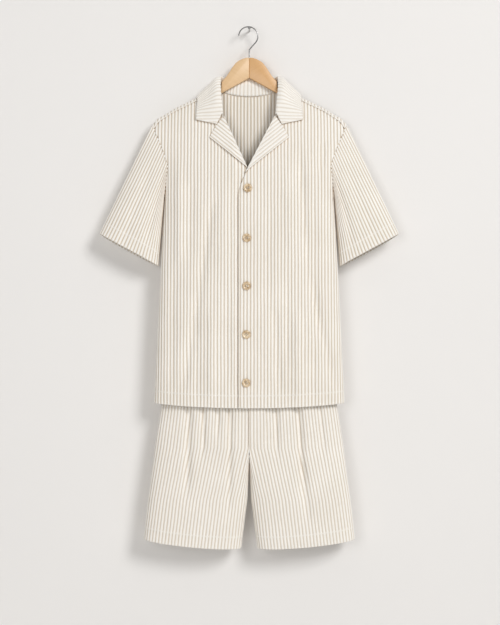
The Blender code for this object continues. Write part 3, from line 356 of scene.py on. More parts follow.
class Quarter:
    """A quarter of a rounded section, from its flat face to its side, by its own length at each height."""

    LEVELS = 60
    TURNS = 600
    STEPS = 160

    def __init__(self, sections, power, inner=False):
        self.levels = np.linspace(sections[0].z, sections[-1].z, self.LEVELS)
        turn = np.linspace(math.pi / 2, 0.0, self.TURNS)
        share = np.linspace(0, 1, self.STEPS)
        self.x, self.y, self.length = [], [], []
        for z in self.levels:
            half = column(sections, "half_width", z)
            if inner:
                half = (half - column(sections, "inner", z)) / 2
            deep = (column(sections, "back", z) - column(sections, "front", z)) / 2
            x = half * np.cos(turn) ** (2 / power)
            y = deep * np.sin(turn) ** (2 / power)
            run = np.concatenate([[0], np.cumsum(np.hypot(np.diff(x), np.diff(y)))])
            self.x.append(np.interp(share * run[-1], run, x))
            self.y.append(np.interp(share * run[-1], run, y))
            self.length.append(run[-1])
        self.x, self.y, self.length = map(np.array, (self.x, self.y, self.length))

    def total(self, z):
        return np.interp(z, self.levels, self.length)

    def at(self, share, z):
        """x from the middle and y from the middle plane, at a share of the quarter's length."""
        level = np.interp(z, self.levels, np.arange(len(self.levels)))
        low = np.minimum(level.astype(int), len(self.levels) - 2)
        step = np.clip(share, 0, 1) * (self.STEPS - 1)
        left = np.minimum(step.astype(int), self.STEPS - 2)
        up, along = level - low, step - left
        found = []
        for grid in (self.x, self.y):
            lower = grid[low, left] * (1 - along) + grid[low, left + 1] * along
            upper = grid[low + 1, left] * (1 - along) + grid[low + 1, left + 1] * along
            found.append(lower * (1 - up) + upper * up)
        return found


SHIRT_QUARTER = Quarter(SHIRT, SHIRT_POWER)
SHORTS_QUARTER = Quarter(SHORTS, SHORTS_POWER)
LEG_QUARTER = Quarter(SHORTS, SHORTS_POWER, inner=True)


def ridge_z(x):
    return column(RIDGE, "z", np.abs(x), by="x")


def mid_and_depth(sections, z):
    front, back = column(sections, "front", z), column(sections, "back", z)
    return (front + back) / 2, (back - front) / 2


def shirt_y(side, x, z, low_y):
    """Depth of the shirt's face: its section's up to the armpit, drawn in to the shoulder above it."""
    seam = ridge_z(x) - SHOULDER_RADIUS
    rise = np.clip((z - PIT_Z) / (seam - PIT_Z), 0, 1) ** SHIRT_DRAW_IN
    y = low_y + (HANG_Y + side * SHOULDER_RADIUS - low_y) * rise
    push = fold_depth(FRONT_FOLDS if side < 0 else BACK_FOLDS, x, z)
    return y - side * push * (1 - rise ** 3)


def low_place(side, start, share, z):
    """A point of the shirt's section, a share of the way from start to the side seam.

    z is held at the armpit above it.
    """
    held = np.minimum(z, PIT_Z)
    total = SHIRT_QUARTER.total(held)
    run = start + (total - HALF_GAP - start) * share
    x, deep = SHIRT_QUARTER.at(np.abs(run) / total, held)
    middle, _ = mid_and_depth(SHIRT, held)
    return np.sign(run) * x, middle + side * deep


def spread(x):
    """How far a column has moved out by the time it reaches the shoulder."""
    over = np.clip((np.abs(x) - FAN_START) / (FAN_END - FAN_START), 0, 1)
    return np.sign(x) * FAN_OUT * over ** FAN_POWER


def face_y(side, x, z):
    """Depth of the shirt's front (side -1) or back (side +1) at a place that isn't on its side fold."""
    held = np.minimum(z, PIT_Z)
    middle, deep = mid_and_depth(SHIRT, held)
    half = column(SHIRT, "half_width", held)
    bend = np.clip(1 - (np.abs(x) / half) ** SHIRT_POWER, 0, 1) ** (1 / SHIRT_POWER)
    return shirt_y(side, x, z, middle + side * deep * bend)


def shoulder_point(x, over):
    """A point on the shirt, over millimetres past the shoulder line: above zero down the front."""
    quarter_turn = SHOULDER_RADIUS * math.pi / 2
    angle = np.clip(over / SHOULDER_RADIUS, -math.pi / 2, math.pi / 2)
    past = np.clip(np.abs(over) - quarter_turn, 0, None)
    z = ridge_z(x) - SHOULDER_RADIUS * (1 - np.cos(angle)) - past
    y_cap = HANG_Y - SHOULDER_RADIUS * np.sin(angle)
    y_face = np.where(over > 0, face_y(-1, x, z), face_y(1, x, z))
    return np.stack([x, np.where(past > 0, y_face, y_cap), z], -1)


def unit(vectors):
    return vectors / np.linalg.norm(vectors, axis=-1, keepdims=True)


def normals_of(grid, outward):
    """Unit normals of a grid of points, turned to the side that outward points to."""
    across = np.gradient(grid, axis=1)
    along = np.gradient(grid, axis=0)
    normal = np.cross(across, along)
    normal /= np.maximum(np.linalg.norm(normal, axis=-1, keepdims=True), 1e-9)
    turned = np.sign(np.sum(normal * outward, axis=-1, keepdims=True))
    return normal * np.where(turned == 0, 1, turned)


def hem_z(hem, x, half):
    return hem["side"] + (hem["middle"] - hem["side"]) * (1 - np.clip(np.abs(x) / half, 0, 1) ** 2)


def edge_x(z, foot):
    """The button edge: straight up to the turn, then in to the foot of the roll line."""
    up = np.clip((z - EDGE_TURN_Z) / (foot[1] - EDGE_TURN_Z), 0, 1)
    return EDGE_X + (foot[0] - EDGE_X) * up ** EDGE_POWER


def front_top(x, foot):
    """Height of the front's upper edge over x: roll line, neckline, then shoulder seam."""
    shoulder = ridge_z(x) - SHOULDER_RADIUS - 2 * SEAM_GAP
    roll = np.interp(x, [foot[0], GORGE_END[0]], [foot[1], GORGE_END[1]])
    neck_end_z = ridge_z(NECK_END) - SHOULDER_RADIUS - SEAM_GAP
    neck = np.interp(x, [GORGE_END[0], NECK_END], [GORGE_END[1], neck_end_z])
    return np.where(x < GORGE_END[0], roll, np.where(x < NECK_END, neck, shoulder))


def fold_push(x, side):
    """How far the side fold stands out beside the armhole, fading to the armpit."""
    return np.sign(x) * FOLD_PUSH * smooth((np.abs(x) - PUSH_START) / PUSH_RUN) * (1 - side) ** 2


def armhole_z(share):
    """Height of the lower armhole over the side fold, from the fold (0) to the armpit (1)."""
    return PIT_Z + (FOLD_Z - PIT_Z) * (1 - share) ** 2


def low_row(side, start, share, row, hem, beside, arm):
    """Points of a shirt panel at a row up to the armhole row, arm, or at arm for the rows above it."""
    levels = [hem, hem + HEM_BAND] + [np.full_like(share, z) for z in SHIRT_ROWS] + [arm]
    index = min(int(row), LOW_ROWS - 1)
    part = min(row - index, 1.0)
    z = levels[index] * (1 - part) + levels[index + 1] * part
    x, low_y = low_place(side, start, share, z)
    if index == LOW_ROWS - 1:
        x = x + part * fold_push(x, beside)
    return x, z, low_y


def front_columns(share, row, foot):
    """Points of a front panel in mirrored x. share runs from the button edge to the side seam.

    row runs 0, 1, ... over hem, top of the hem, SHIRT_ROWS, the armhole row and then up to the top edge.
    """
    side_share = 1 - SIDE_CELLS / FRONT_CELLS
    x_guess, _ = low_place(-1, EDGE_X, share, np.full_like(share, PIT_Z))
    side = np.clip((share - side_share) / (1 - side_share), 0, 1)
    near_edge = np.clip((GORGE[0] - x_guess) / (GORGE[0] - EDGE_X), 0, 1)
    arm = np.where(share >= side_share, armhole_z(side), FOLD_Z)
    arm = arm + near_edge ** 3 * (foot[1] - ARM_DROP - FOLD_Z)
    x, z, low_y = low_row(-1, EDGE_X, share, row, hem_z(FRONT_HEM, x_guess, HEM_HALF), side, arm)
    squeeze = np.clip((GORGE[0] - x) / (GORGE[0] - EDGE_X), 0, 1)
    x = x + (edge_x(z, foot) - EDGE_X) * squeeze
    if row > LOW_ROWS:
        part = (row - LOW_ROWS) / 3
        foot_squeeze = np.clip((GORGE[0] - x) / (GORGE[0] - x[0]), 0, 1)
        x_top = x + spread(x) + (foot[0] - x[0]) * foot_squeeze
        z_top = front_top(x_top, foot)
        x = x + (x_top - x) * part ** COLUMN_POWER
        z = z + (z_top - z) * part
    return x, z, low_y


def front_grid(share, rows, foot, drop):
    grid = []
    for row in rows:
        x, z, low_y = front_columns(share, row, foot)
        y = shirt_y(-1, x * foot_side(foot), z, low_y)
        y = y + drop * smooth((OVERLAP + 12 - x) / 9)
        grid.append(np.stack([x * foot_side(foot), y, z], -1))
    return np.array(grid)


def depth_on(grid, x, z):
    """Depth of a panel at places over it, read between the points of its columns."""
    x, z = np.atleast_1d(x), np.atleast_1d(z)
    across = np.array([np.interp(z, line[:, 2], line[:, 0]) for line in grid.transpose(1, 0, 2)])
    deep = np.array([np.interp(z, line[:, 2], line[:, 1]) for line in grid.transpose(1, 0, 2)])
    found = []
    for place, xs, ys in zip(x, across.T, deep.T):
        order = np.argsort(xs)
        found.append(np.interp(place, xs[order], ys[order]))
    return np.array(found)


def foot_side(foot):
    """+1 for the wearer's left front, which lies on top, and -1 for the right one."""
    return 1 if foot is ROLL_FOOT_LEFT else -1


def back_columns(share, row):
    """Points of the back: share runs from -1 to 1 between the side seams, row as on the front."""
    side_share = 1 - SIDE_CELLS / BACK_HALF_CELLS
    x_guess, _ = low_place(1, 0, share, np.full_like(share, PIT_Z))
    side = np.clip((np.abs(share) - side_share) / (1 - side_share), 0, 1)
    arm = np.where(np.abs(share) >= side_share, armhole_z(side), FOLD_Z)
    x, z, low_y = low_row(1, 0, share, row, hem_z(BACK_HEM, x_guess, HEM_HALF), side, arm)
    if row < LOW_ROWS:
        return x, shirt_y(1, x, z, low_y), z
    x_top = x + spread(x)
    cap = ridge_z(x_top) - SHOULDER_RADIUS
    neck = np.interp(np.abs(x_top), NECKLINE_X, NECKLINE_Z)
    past = np.abs(x_top) - NECKLINE_X[-1]
    end = np.where(past < 0, neck, cap + SHOULDER_RADIUS * BACK_TURN * smooth(past / 8))
    before = np.minimum(cap, end - NECK_STEP)
    step = row - LOW_ROWS
    if step <= 2:
        reach = z + (before - z) * step / 2
    else:
        reach = before + (end - before) * (step - 2) / 4
    part = np.clip((reach - z) / (before - z), 0, 1)
    x_now = x + (x_top - x) * part ** COLUMN_POWER
    angle = np.clip((reach - cap) / SHOULDER_RADIUS, 0, math.pi)
    height = np.minimum(reach, cap)
    y = shirt_y(1, x_now, height, low_y)
    tip = smooth((np.abs(x_now) - TIP_START) / TIP_RUN)
    x_now = x_now + np.sign(x_now) * TIP_BULGE * np.sin(angle) * tip
    y = np.where(angle > 0, HANG_Y + SHOULDER_RADIUS * np.cos(angle), y)
    return x_now, y, height + SHOULDER_RADIUS * np.sin(angle)


def armhole_ring():
    """The armhole as a closed line on the left, from the shoulder line down the front and up the back."""
    front_fold, back_fold = 1 - SIDE_CELLS / FRONT_CELLS, 1 - SIDE_CELLS / BACK_HALF_CELLS

    def front(share, row):
        x, z, low_y = front_columns(np.append(0.0, share), row, ROLL_FOOT_LEFT)
        return list(zip(x[1:], shirt_y(-1, x, z, low_y)[1:], z[1:]))

    line = []
    for row in np.linspace(LOW_ROWS + 3, LOW_ROWS, 40)[:-1]:
        line += front(front_fold, row)
    line += front(np.linspace(front_fold, 1, 30), LOW_ROWS)
    line += list(zip(*back_columns(np.linspace(1, back_fold, 30), LOW_ROWS)))
    for row in np.linspace(LOW_ROWS, LOW_ROWS + 6, 80)[1:]:
        line += list(zip(*back_columns(np.array([back_fold]), row)))
    ring = np.array(line)
    top = int(np.argmax(ring[:, 2]))
    return np.concatenate([ring[top:], ring[:top + 1]])


def lengths(line):
    """Distance along a line at each of its points."""
    return np.concatenate([[0], np.cumsum(np.linalg.norm(np.diff(line, axis=0), axis=1))])


def read_along(values, at, run):
    return np.stack([np.interp(at, run, column_values) for column_values in values.T], -1)


def resampled(line, share):
    run = lengths(line)
    return read_along(line, share * run[-1], run)


def curve_between(start, end, leave, arrive, t):
    """Points on the smooth curve from start to end that leaves and arrives in the given ways."""
    return (
        start * (2 * t ** 3 - 3 * t ** 2 + 1)
        + leave * (t ** 3 - 2 * t ** 2 + t)
        + end * (3 * t ** 2 - 2 * t ** 3)
        + arrive * (t ** 3 - t ** 2)
    )


def sleeve_hem(share):
    """The sleeve's lower edge, from its outer corner over the front to the inner corner and back behind."""
    outer, inner = np.array(SLEEVE_HEM_OUTER), np.array(SLEEVE_HEM_INNER)
    turn = np.linspace(0, 2 * math.pi, 721)
    half = np.linalg.norm(outer - inner) / 2
    along = np.sign(np.cos(turn)) * np.abs(np.cos(turn)) ** (2 / SLEEVE_POWER) * half
    deep = np.sign(np.sin(turn)) * np.abs(np.sin(turn)) ** (2 / SLEEVE_POWER) * SLEEVE_HEM_DEPTH / 2
    way = (outer - inner) / (2 * half)
    centre = (outer + inner) / 2
    sag = -SLEEVE_SAG[0] * np.sin(turn) - SLEEVE_SAG[1] * np.cos(turn) ** 2
    x, z = centre[0] + way[0] * along, centre[1] + way[1] * along - sag
    return resampled(np.stack([x, SLEEVE_MIDDLE_Y - deep, z], -1), share)


def smooth_line(at, places, points):
    """Points read from one smooth curve through the given ones."""
    places, points = np.array(places, float), np.array(points, float)
    slope = np.gradient(points, places, axis=0)
    index = np.clip(np.searchsorted(places, at) - 1, 0, len(places) - 2)
    span = (places[index + 1] - places[index])[:, None]
    t = (at - places[index])[:, None] / span
    return curve_between(points[index], points[index + 1], slope[index] * span, slope[index + 1] * span, t)


def collar_line(name, at):
    """A named line of the collar along its whole length, from -1 to 1 with the middle of the back at 0."""
    half = [getattr(row, name) for row in COLLAR]
    places = [row.at for row in COLLAR]
    mirrored = [(-point[0], *point[1:]) for point in half[:0:-1]] + half
    return smooth_line(at, [-place for place in places[:0:-1]] + places, mirrored)


def collar_grid(at):
    """Rows of the collar's right side, from the neck seam up the stand, over the fold and down to the edge.

    Also gives the directions that face out there.
    """
    neck, fold = collar_line("neck", at), collar_line("fold", at)
    x, over = collar_line("edge", at).T
    angle = np.clip(over / SHOULDER_RADIUS, -math.pi / 2, math.pi / 2)
    lift = unit(np.stack([SHOULDER_SLOPE * np.sign(x) * np.cos(angle), -np.sin(angle), np.cos(angle)], -1))
    edge = shoulder_point(x, over) + lift * (COLLAR_CLEAR + COLLAR_WALL)
    down = unit((neck + edge) / 2 - fold)
    along = unit(np.gradient(fold, axis=0))
    down = unit(down - along * np.sum(down * along, -1, keepdims=True))
    across = np.cross(along, down)
    across = across * np.sign(np.sum(across * (edge - neck), -1, keepdims=True))
    low = eased(at, STAND_END)[:, None]
    neck = neck * (1 - low) + (fold + down * STAND_UNDER - across * FOLD_RADIUS) * low
    inner_turn = fold + down * FOLD_DROP - across * FOLD_RADIUS
    outer_turn = fold + down * FOLD_DROP + across * FOLD_RADIUS
    middle = (outer_turn + edge) / 2 + unit(lift + across) * COLLAR_BELLY
    corner_x, corner_z = np.sign(at) * NOTCH[0], np.full_like(at, NOTCH[1])
    corner_y = face_y(-1, corner_x, corner_z) - COLLAR_CLEAR - COLLAR_WALL
    turn_in = eased(at, CORNER_TURN)[:, None]
    middle = middle * (1 - turn_in) + np.stack([corner_x, corner_y, corner_z], -1) * turn_in
    grid = np.array([neck, inner_turn, fold, outer_turn, middle, edge])
    outward = np.array([-across, -across, -down, across, unit(across + lift), lift])
    return grid, outward


def lapel_grid(apart, rows, foot, side, panel):
    """Lines of a lapel, each parallel to its free edge and apart times its width from it.

    A row is a share of the way from the top edge to the roll; the two last rows turn over the cut edge.
    """
    tip, notch, gorge, foot = map(np.array, (LAPEL_TIP, NOTCH_LAPEL, LAPEL_GORGE, foot))
    way = (foot - tip) / np.linalg.norm(foot - tip)
    square = np.array([-way[1], way[0]])
    share_notch = ((notch - tip) @ square) / ((gorge - tip) @ square)
    on_tip = np.minimum(apart / share_notch, 1)[:, None]
    on_gorge = np.clip((apart - share_notch) / (1 - share_notch), 0, 1)[:, None]
    top = tip + (notch - tip) * on_tip + (gorge - notch) * on_gorge
    roll = foot + (gorge - foot) * apart[:, None]
    grid = []
    for row in rows:
        flat = top + (roll - top) * row
        x, z = flat[:, 0] * side, flat[:, 1]
        lift = LAPEL_LIFT + LAPEL_WALL + LAPEL_BELLY * math.sin(math.pi * row)
        grid.append(np.stack([x, depth_on(panel, x, z) - lift, z], -1))
    lip = grid[-1] + np.array([0, LAPEL_LIP, 0])
    grid[-1] = grid[-1] + np.array([0, LAPEL_SINK, 0])
    return np.array(grid + [lip])


def shorts_columns(share, row, side):
    """Points of a shorts panel with positive x. share runs from the centre seam or inseam to the side seam.

    Rows are the hem, its top, SHORTS_ROWS, the crotch row, SHORTS_UPPER_ROWS and the waistband's foot.
    """
    crotch_share = CROTCH_CELLS / SHORTS_CELLS

    def leg(z):
        half, inner = column(SHORTS, "half_width", z), column(SHORTS, "inner", z)
        reach = LEG_QUARTER.total(z)
        run = -reach + HALF_GAP + (2 * reach - SEAM_GAP) * share
        x, deep = LEG_QUARTER.at(np.abs(run) / reach, z)
        middle, _ = mid_and_depth(SHORTS, z)
        return (half + inner) / 2 + np.sign(run) * x, middle + side * deep

    def seat(z):
        part = np.clip((share - crotch_share) / (1 - crotch_share), 0, 1)
        reach = SHORTS_QUARTER.total(z) - HALF_GAP
        x, deep = SHORTS_QUARTER.at(part * reach / SHORTS_QUARTER.total(z), z)
        middle, _ = mid_and_depth(SHORTS, z)
        return np.maximum(x, CROTCH_GAP), middle + side * deep

    def crotch():
        z = np.full_like(share, CROTCH_Z + CROTCH_RISE)
        x, y = seat(z)
        turn = np.clip(share / crotch_share, 0, 1) * math.pi / 2
        middle, deep = mid_and_depth(SHORTS, z)
        under = share < crotch_share
        around = middle + side * np.maximum(deep * np.sin(turn) ** (2 / SHORTS_POWER), HALF_GAP)
        drop = CROTCH_RISE * np.maximum(np.cos(turn), 0) ** (2 / SHORTS_POWER)
        return np.where(under, CROTCH_GAP, x), np.where(under, around, y), np.where(under, z - drop, z)

    def level(index):
        if index <= 1:
            x, _ = leg(np.full_like(share, SHORTS_HEM["side"]))
            return hem_z(SHORTS_HEM, x, SHORTS_HEM_HALF) + HEM_BAND * index
        if index < CROTCH_ROW:
            return np.full_like(share, SHORTS_ROWS[index - 2])
        heights = (CROTCH_Z + CROTCH_RISE,) + SHORTS_UPPER_ROWS + (BAND_BOTTOM - SEAM_GAP,)
        return np.full_like(share, heights[min(index - CROTCH_ROW, len(heights) - 1)])

    index = int(row)
    part = row - index
    if row == CROTCH_ROW:
        return crotch()
    if index + 1 == CROTCH_ROW:
        low = level(index)
        x0, y0 = leg(low)
        x1, y1, z1 = crotch()
        return x0 + (x1 - x0) * part, y0 + (y1 - y0) * part, low + (z1 - low) * part
    z = level(index) + (level(index + 1) - level(index)) * part
    return *(leg(z) if index < CROTCH_ROW else seat(z)), z


def shorts_grid(share, rows, side, hand, fly):
    folds = SHORTS_FRONT_FOLDS if side < 0 else SHORTS_BACK_FOLDS
    grid = []
    for row in rows:
        x, y, z = shorts_columns(share, row, side)
        middle, deep = mid_and_depth(SHORTS, z)
        facing = np.clip((side * (y - middle) / deep - 0.5) / 0.5, 0, 1)
        y = y - side * fold_depth(folds, x * hand, z) * facing
        if fly:
            step = smooth((FLY_WIDTH + FLY_PAST - x) / FLY_STEP) * smooth((z - FLY_FOOT_Z) / FLY_RISE)
            y = y - FLY_RAISE * step * facing
        grid.append(np.stack([x * hand, y, z], -1))
    return np.array(grid)


def fine_rows(turn, stretches):
    """Row numbers of a panel: its hem, then on to the row turn, then on by each further stretch.

    A stretch is how far the row number goes up in it, left at 0 for the first, and its count of fine rows.
    """
    rows, start = [HEM_ROWS], 1
    for reach, count in stretches:
        end = turn if start == 1 else start + reach
        rows.append(np.linspace(start, end, count + 1)[1:])
        start = end
    return np.concatenate(rows)


def hem_relief(offsets):
    """How much of the ribs' relief is left near a hem: pressed flatter at its edge and at its stitching."""
    stitched = np.exp(-(((offsets - HEM_STITCH) / STITCH_REACH) ** 2))
    return 1 - STITCH_PRESS * stitched - EDGE_PRESS * (1 - smooth(offsets / EDGE_REACH))


def hem_roll(offsets):
    """How far the cloth turns in at a folded edge."""
    return ROLL_DEPTH * (1 - smooth(offsets / ROLL_REACH))


def ripple(u, v):
    """Slight unevenness of the ribs, between about -1 and 1."""
    waves = 0.5 * np.sin(0.83 * v + 2.1 * u) + 0.3 * np.sin(0.37 * v - 1.3 * u + 1)
    return waves + 0.2 * np.sin(1.9 * v + 0.7 * u)


def new_object(name, mesh, finish):
    made = bpy.data.objects.new(name, mesh)
    made.data.materials.append(finish)
    bpy.context.scene.collection.objects.link(made)
    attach(made, "root")
    return made


def plain_lines(grid, outward, closed=False):
    """A rib to every SAMPLES columns of a grid."""
    outward = np.broadcast_to(outward, grid.shape)
    if closed:
        padded = [np.concatenate([each[:, -2:], each, each[:, :2]], axis=1) for each in (grid, outward)]
        normal = normals_of(*padded)[:, 2:-2]
    else:
        normal = normals_of(grid, outward)
    ribs = np.broadcast_to(np.arange(grid.shape[1]) / SAMPLES, grid.shape[:2])
    return Lines(grid, normal, unit(np.gradient(grid, axis=1) + 1e-9), ribs)


def straight_lines(grid, outward, ribs, wanted, spans):
    """A grid with its columns moved on to parallel ribs, which are cut off at the ends of each row.

    ribs is the rib number at every point, wanted the numbers that get a column, and spans holds the row and
    the first and last column in use for each new row.
    """
    values = np.concatenate([
        grid, normals_of(grid, np.broadcast_to(outward, grid.shape)), unit(np.gradient(grid, axis=1) + 1e-9),
    ], -1)
    found, numbers = [], []
    for row, first, last in spans:
        known = ribs[row, first:last + 1]
        at = np.clip(wanted, known[0], known[-1])
        found.append(read_along(values[row, first:last + 1], at, known))
        numbers.append(at)
    found = np.array(found)
    return Lines(found[..., :3], unit(found[..., 3:6]), unit(found[..., 6:]), np.array(numbers))


def by_rows(values, rows, cols):
    """Values given for each row, or for each point, as one to a point."""
    return np.broadcast_to(values, (cols, rows)).T if np.ndim(values) < 2 else values


def shell(name, node, lines, mask=None, closed=False, thickness=CLOTH, relief=1.0, roll=0.0):
    """A thin ribbed cloth behind the crest points of a grid, in the place of a solid.

    relief is the share of RIB_RELIEF that each row has, and roll how far its points turn in at an edge.
    """
    grid, normal, sideways, u = lines
    rows, cols = grid.shape[:2]
    steps = np.linalg.norm(np.diff(grid, axis=0), axis=-1)
    v = np.concatenate([np.zeros((1, cols)), np.cumsum(steps, axis=0)]) / RIB_PITCH
    groove = ((1 - np.cos(2 * math.pi * u)) / 2) ** GROOVE_POWER
    relief = by_rows(relief, rows, cols)
    depth = RIB_RELIEF * relief * groove * (1 + DEPTH_RIPPLE * ripple(u, v)) + by_rows(roll, rows, cols)
    inside = 1.0 if closed else smooth(np.minimum(u - u.min(), u.max() - u) / 2)
    waver = SIDE_RIPPLE * ripple(0.3 * u, 0.45 * v) * inside
    points = grid - normal * depth[..., None] + sideways * waver[..., None]

    if mask is None:
        mask = np.ones((rows - 1, cols if closed else cols - 1), bool)
    row, col = np.nonzero(mask)
    after = (col + 1) % cols
    corners = ((row, col), (row, after), (row + 1, after), (row + 1, col))
    quads = np.stack([each_row * cols + each_col for each_row, each_col in corners], 1)
    along = np.stack([v[corner] for corner in corners], 1)
    across = np.stack([u[corner] for corner in corners], 1)
    across[:, 1:3] += np.where(after < col, cols / SAMPLES, 0)[:, None]
    flat = points.reshape(-1, 3)
    facing = np.cross(flat[quads[:, 2]] - flat[quads[:, 0]], flat[quads[:, 3]] - flat[quads[:, 1]])
    if np.sum(facing * normal.reshape(-1, 3)[quads[:, 0]]) < 0:
        quads, along, across = quads[:, ::-1], along[:, ::-1], across[:, ::-1]
    used, index = np.unique(quads, return_inverse=True)
    mesh = bpy.data.meshes.new(name)
    mesh.from_pydata((flat[used] * MM).tolist(), [], index.reshape(quads.shape).tolist())
    pressed = mesh.attributes.new("pressed", "FLOAT", "POINT")
    pressed.data.foreach_set("value", np.broadcast_to(1 - relief, (rows, cols)).ravel()[used])
    layer = mesh.uv_layers.new(name="ribs")
    layer.data.foreach_set("uv", np.stack([across.ravel(), along.ravel()], 1).ravel())
    shape = bmesh.new()
    shape.from_mesh(mesh)
    bmesh.ops.remove_doubles(shape, verts=shape.verts, dist=MERGE_REACH * MM)
    shape.to_mesh(mesh)
    shape.free()
    mesh.shade_smooth()
    piece = new_object(name, mesh, cloth_material())
    solid = piece.modifiers.new("cloth", "SOLIDIFY")
    solid.thickness = thickness * MM
    solid.offset = -1
    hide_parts(node)
    return Surface(piece, points, normal, u)


def rib_numbers(flat, x, fold):
    """Rib numbers from the middle out: along the section up to the armhole row, straight up above it.

    flat holds the x and y of each row up to that one, and x the rows above it. fold is their last column.
    """
    numbers = []
    for across, deep in flat:
        numbers.append(lengths(np.stack([across, deep], -1)) + across[0] - EDGE_X)
    base_x, base = flat[-1][0][:fold + 1], numbers[-1][:fold + 1]
    for across in x:
        numbers.append(np.interp(across, base_x, base) + np.clip(across - base_x[-1], 0, None))
    return np.array(numbers) / RIB_PITCH


def panel_lines(grid, outward, ribs, wanted, rows, first, last):
    """Parallel ribs on a shirt panel, those from first to last going on above the armhole row.

    That row is doubled, and no faces join its two copies. Also gives each row's distance from the hem and
    which faces there are.
    """
    low, cols = int(np.searchsorted(rows, LOW_ROWS)), grid.shape[1]
    spans = [(row, 0, cols - 1) for row in range(low + 1)]
    spans += [(row, first, last) for row in range(low, len(rows))]
    lines = straight_lines(grid, outward, ribs, wanted, spans)
    rows = np.insert(rows, low, rows[low])
    mask = np.ones((len(rows) - 1, cols - 1), bool)
    mask[low] = False
    return lines, np.where(rows <= 1, rows * HEM_BAND, FAR_FROM_HEM), mask


def shirt_front(side, foot):
    rows = fine_rows(LOW_ROWS, FRONT_FINE)
    share = np.linspace(0, 1, FRONT_CELLS * COLUMNS + 1)
    grid = front_grid(share, rows, foot, 0.0 if foot is ROLL_FOOT_LEFT else OVERLAP_DROP)
    shoulder = smooth((np.abs(grid[-1, :, 0]) - NECK_HALF - 4) / 4)
    tuck = np.stack([0 * share, 0.8 + 0.8 * shoulder, TUCK * shoulder], -1)
    grid[-1, :, 1] += 0.9 * shoulder
    grid = np.concatenate([grid, grid[-1:] + tuck])
    rows = np.append(rows, rows[-1])
    fold = len(share) - 1 - SIDE_CELLS * COLUMNS
    low = int(np.searchsorted(rows, LOW_ROWS))
    flat = [front_columns(share, row, foot)[::2] for row in rows[:low + 1]]
    ribs = rib_numbers(flat, [front_columns(share, row, foot)[0] for row in rows[low + 1:]], fold)
    outward = np.array([0.25 * foot_side(foot), -1, 0.1])
    lines, offsets, mask = panel_lines(grid, outward, ribs, np.arange(len(share)) / SAMPLES, rows, 0, fold)
    from_edge = (lines.ribs - lines.ribs[:, :1]) * RIB_PITCH
    roll = np.maximum(hem_roll(offsets)[:, None], hem_roll(from_edge))
    name, node = f"front_{side}_cloth", f"shirt_front_{side}"
    return shell(name, node, lines, mask, relief=hem_relief(offsets), roll=roll), grid


def shirt_back():
    rows = fine_rows(LOW_ROWS, BACK_FINE)
    share = np.linspace(-1, 1, 2 * BACK_HALF_CELLS * COLUMNS + 1)
    grid = np.array([np.stack(back_columns(share, row), -1) for row in rows])
    outward = np.array([0.0, 1.0, 0.0]) + np.array([0.3, 0, 0]) * np.sign(share)[None, :, None]
    outward = np.broadcast_to(outward, grid.shape).copy()
    middle = np.stack([grid[..., 0], np.full(grid.shape[:2], HANG_Y), ridge_z(grid[..., 0]) - 12], -1)
    over = rows >= LOW_ROWS + 2
    outward[over] = (grid - middle)[over]
    half, side = len(share) // 2, SIDE_CELLS * COLUMNS
    low = int(np.searchsorted(rows, LOW_ROWS))
    flat = [(line[half:, 0], line[half:, 1]) for line in grid[:low + 1]]
    right = rib_numbers(flat, grid[low + 1:, half:, 0], half - side)
    right = right - right[:, :1]
    ribs = np.concatenate([-right[:, :0:-1], right], axis=1)
    wanted = np.arange(-half, half + 1) / SAMPLES
    lines, offsets, mask = panel_lines(grid, outward, ribs, wanted, rows, side, 2 * half - side)
    seam, sewn = np.zeros(len(offsets)), np.zeros(len(offsets))
    seam[-1] = 1
    sewn[-3:] = 0.6
    beside = np.abs(lines.ribs) > NECK_HALF / RIB_PITCH
    relief = hem_relief(offsets)[:, None] - sewn[:, None] * beside
    roll = hem_roll(offsets)[:, None] + seam[:, None] * beside
    return shell("back_cloth", "shirt_back", lines, mask, relief=relief, roll=roll)


def sleeve(name, side):
    """A sleeve from the armhole, SEAM_GAP off it, to the hem. Its first row is tucked under the shoulder."""
    share = np.arange(SLEEVE_CELLS * COLUMNS) / (SLEEVE_CELLS * COLUMNS)
    ring = resampled(armhole_ring(), share)
    hem = sleeve_hem(share)
    way = unit(hem - ring)
    ring = ring + np.array([2.4 * SEAM_GAP, 0, 0]) + way * SEAM_GAP
    run = np.linalg.norm(hem - ring, axis=1)
    levels = [(1 - HEM_BAND / run) * row for row in np.linspace(0, 1, SLEEVE_FINE)]
    levels += [1 - offset / run for offset in HEM_OFFSETS[-2::-1]]
    around = -np.sign(np.sin(2 * math.pi * share)) * np.abs(np.sin(2 * math.pi * share)) ** 0.6
    aside = HANG_Y - ring[:, 1]
    drop = -np.sqrt(np.clip(SHOULDER_RADIUS ** 2 - aside ** 2, 0, None))
    inward = unit(np.stack([0 * share, aside, drop], -1))
    grid = [ring + np.array([-TUCK, 0, 0]) + inward * CLOTH * 1.3]
    for at in levels:
        push = np.sin(math.pi * at) * SLEEVE_PUFF - fold_depth(SLEEVE_FOLDS, share, at)
        grid.append(ring + (hem - ring) * at[:, None] + np.stack([0 * share, around * push, 0 * share], -1))
    grid = np.array(grid) * (side, 1, 1)
    offsets = np.concatenate([np.full(1 + SLEEVE_FINE, FAR_FROM_HEM), HEM_OFFSETS[-2::-1]])
    lines = plain_lines(grid, grid - grid.mean(axis=1, keepdims=True), True)
    relief, roll = hem_relief(offsets), hem_roll(offsets)
    return shell(f"{name}_cloth", name, lines, closed=True, relief=relief, roll=roll)


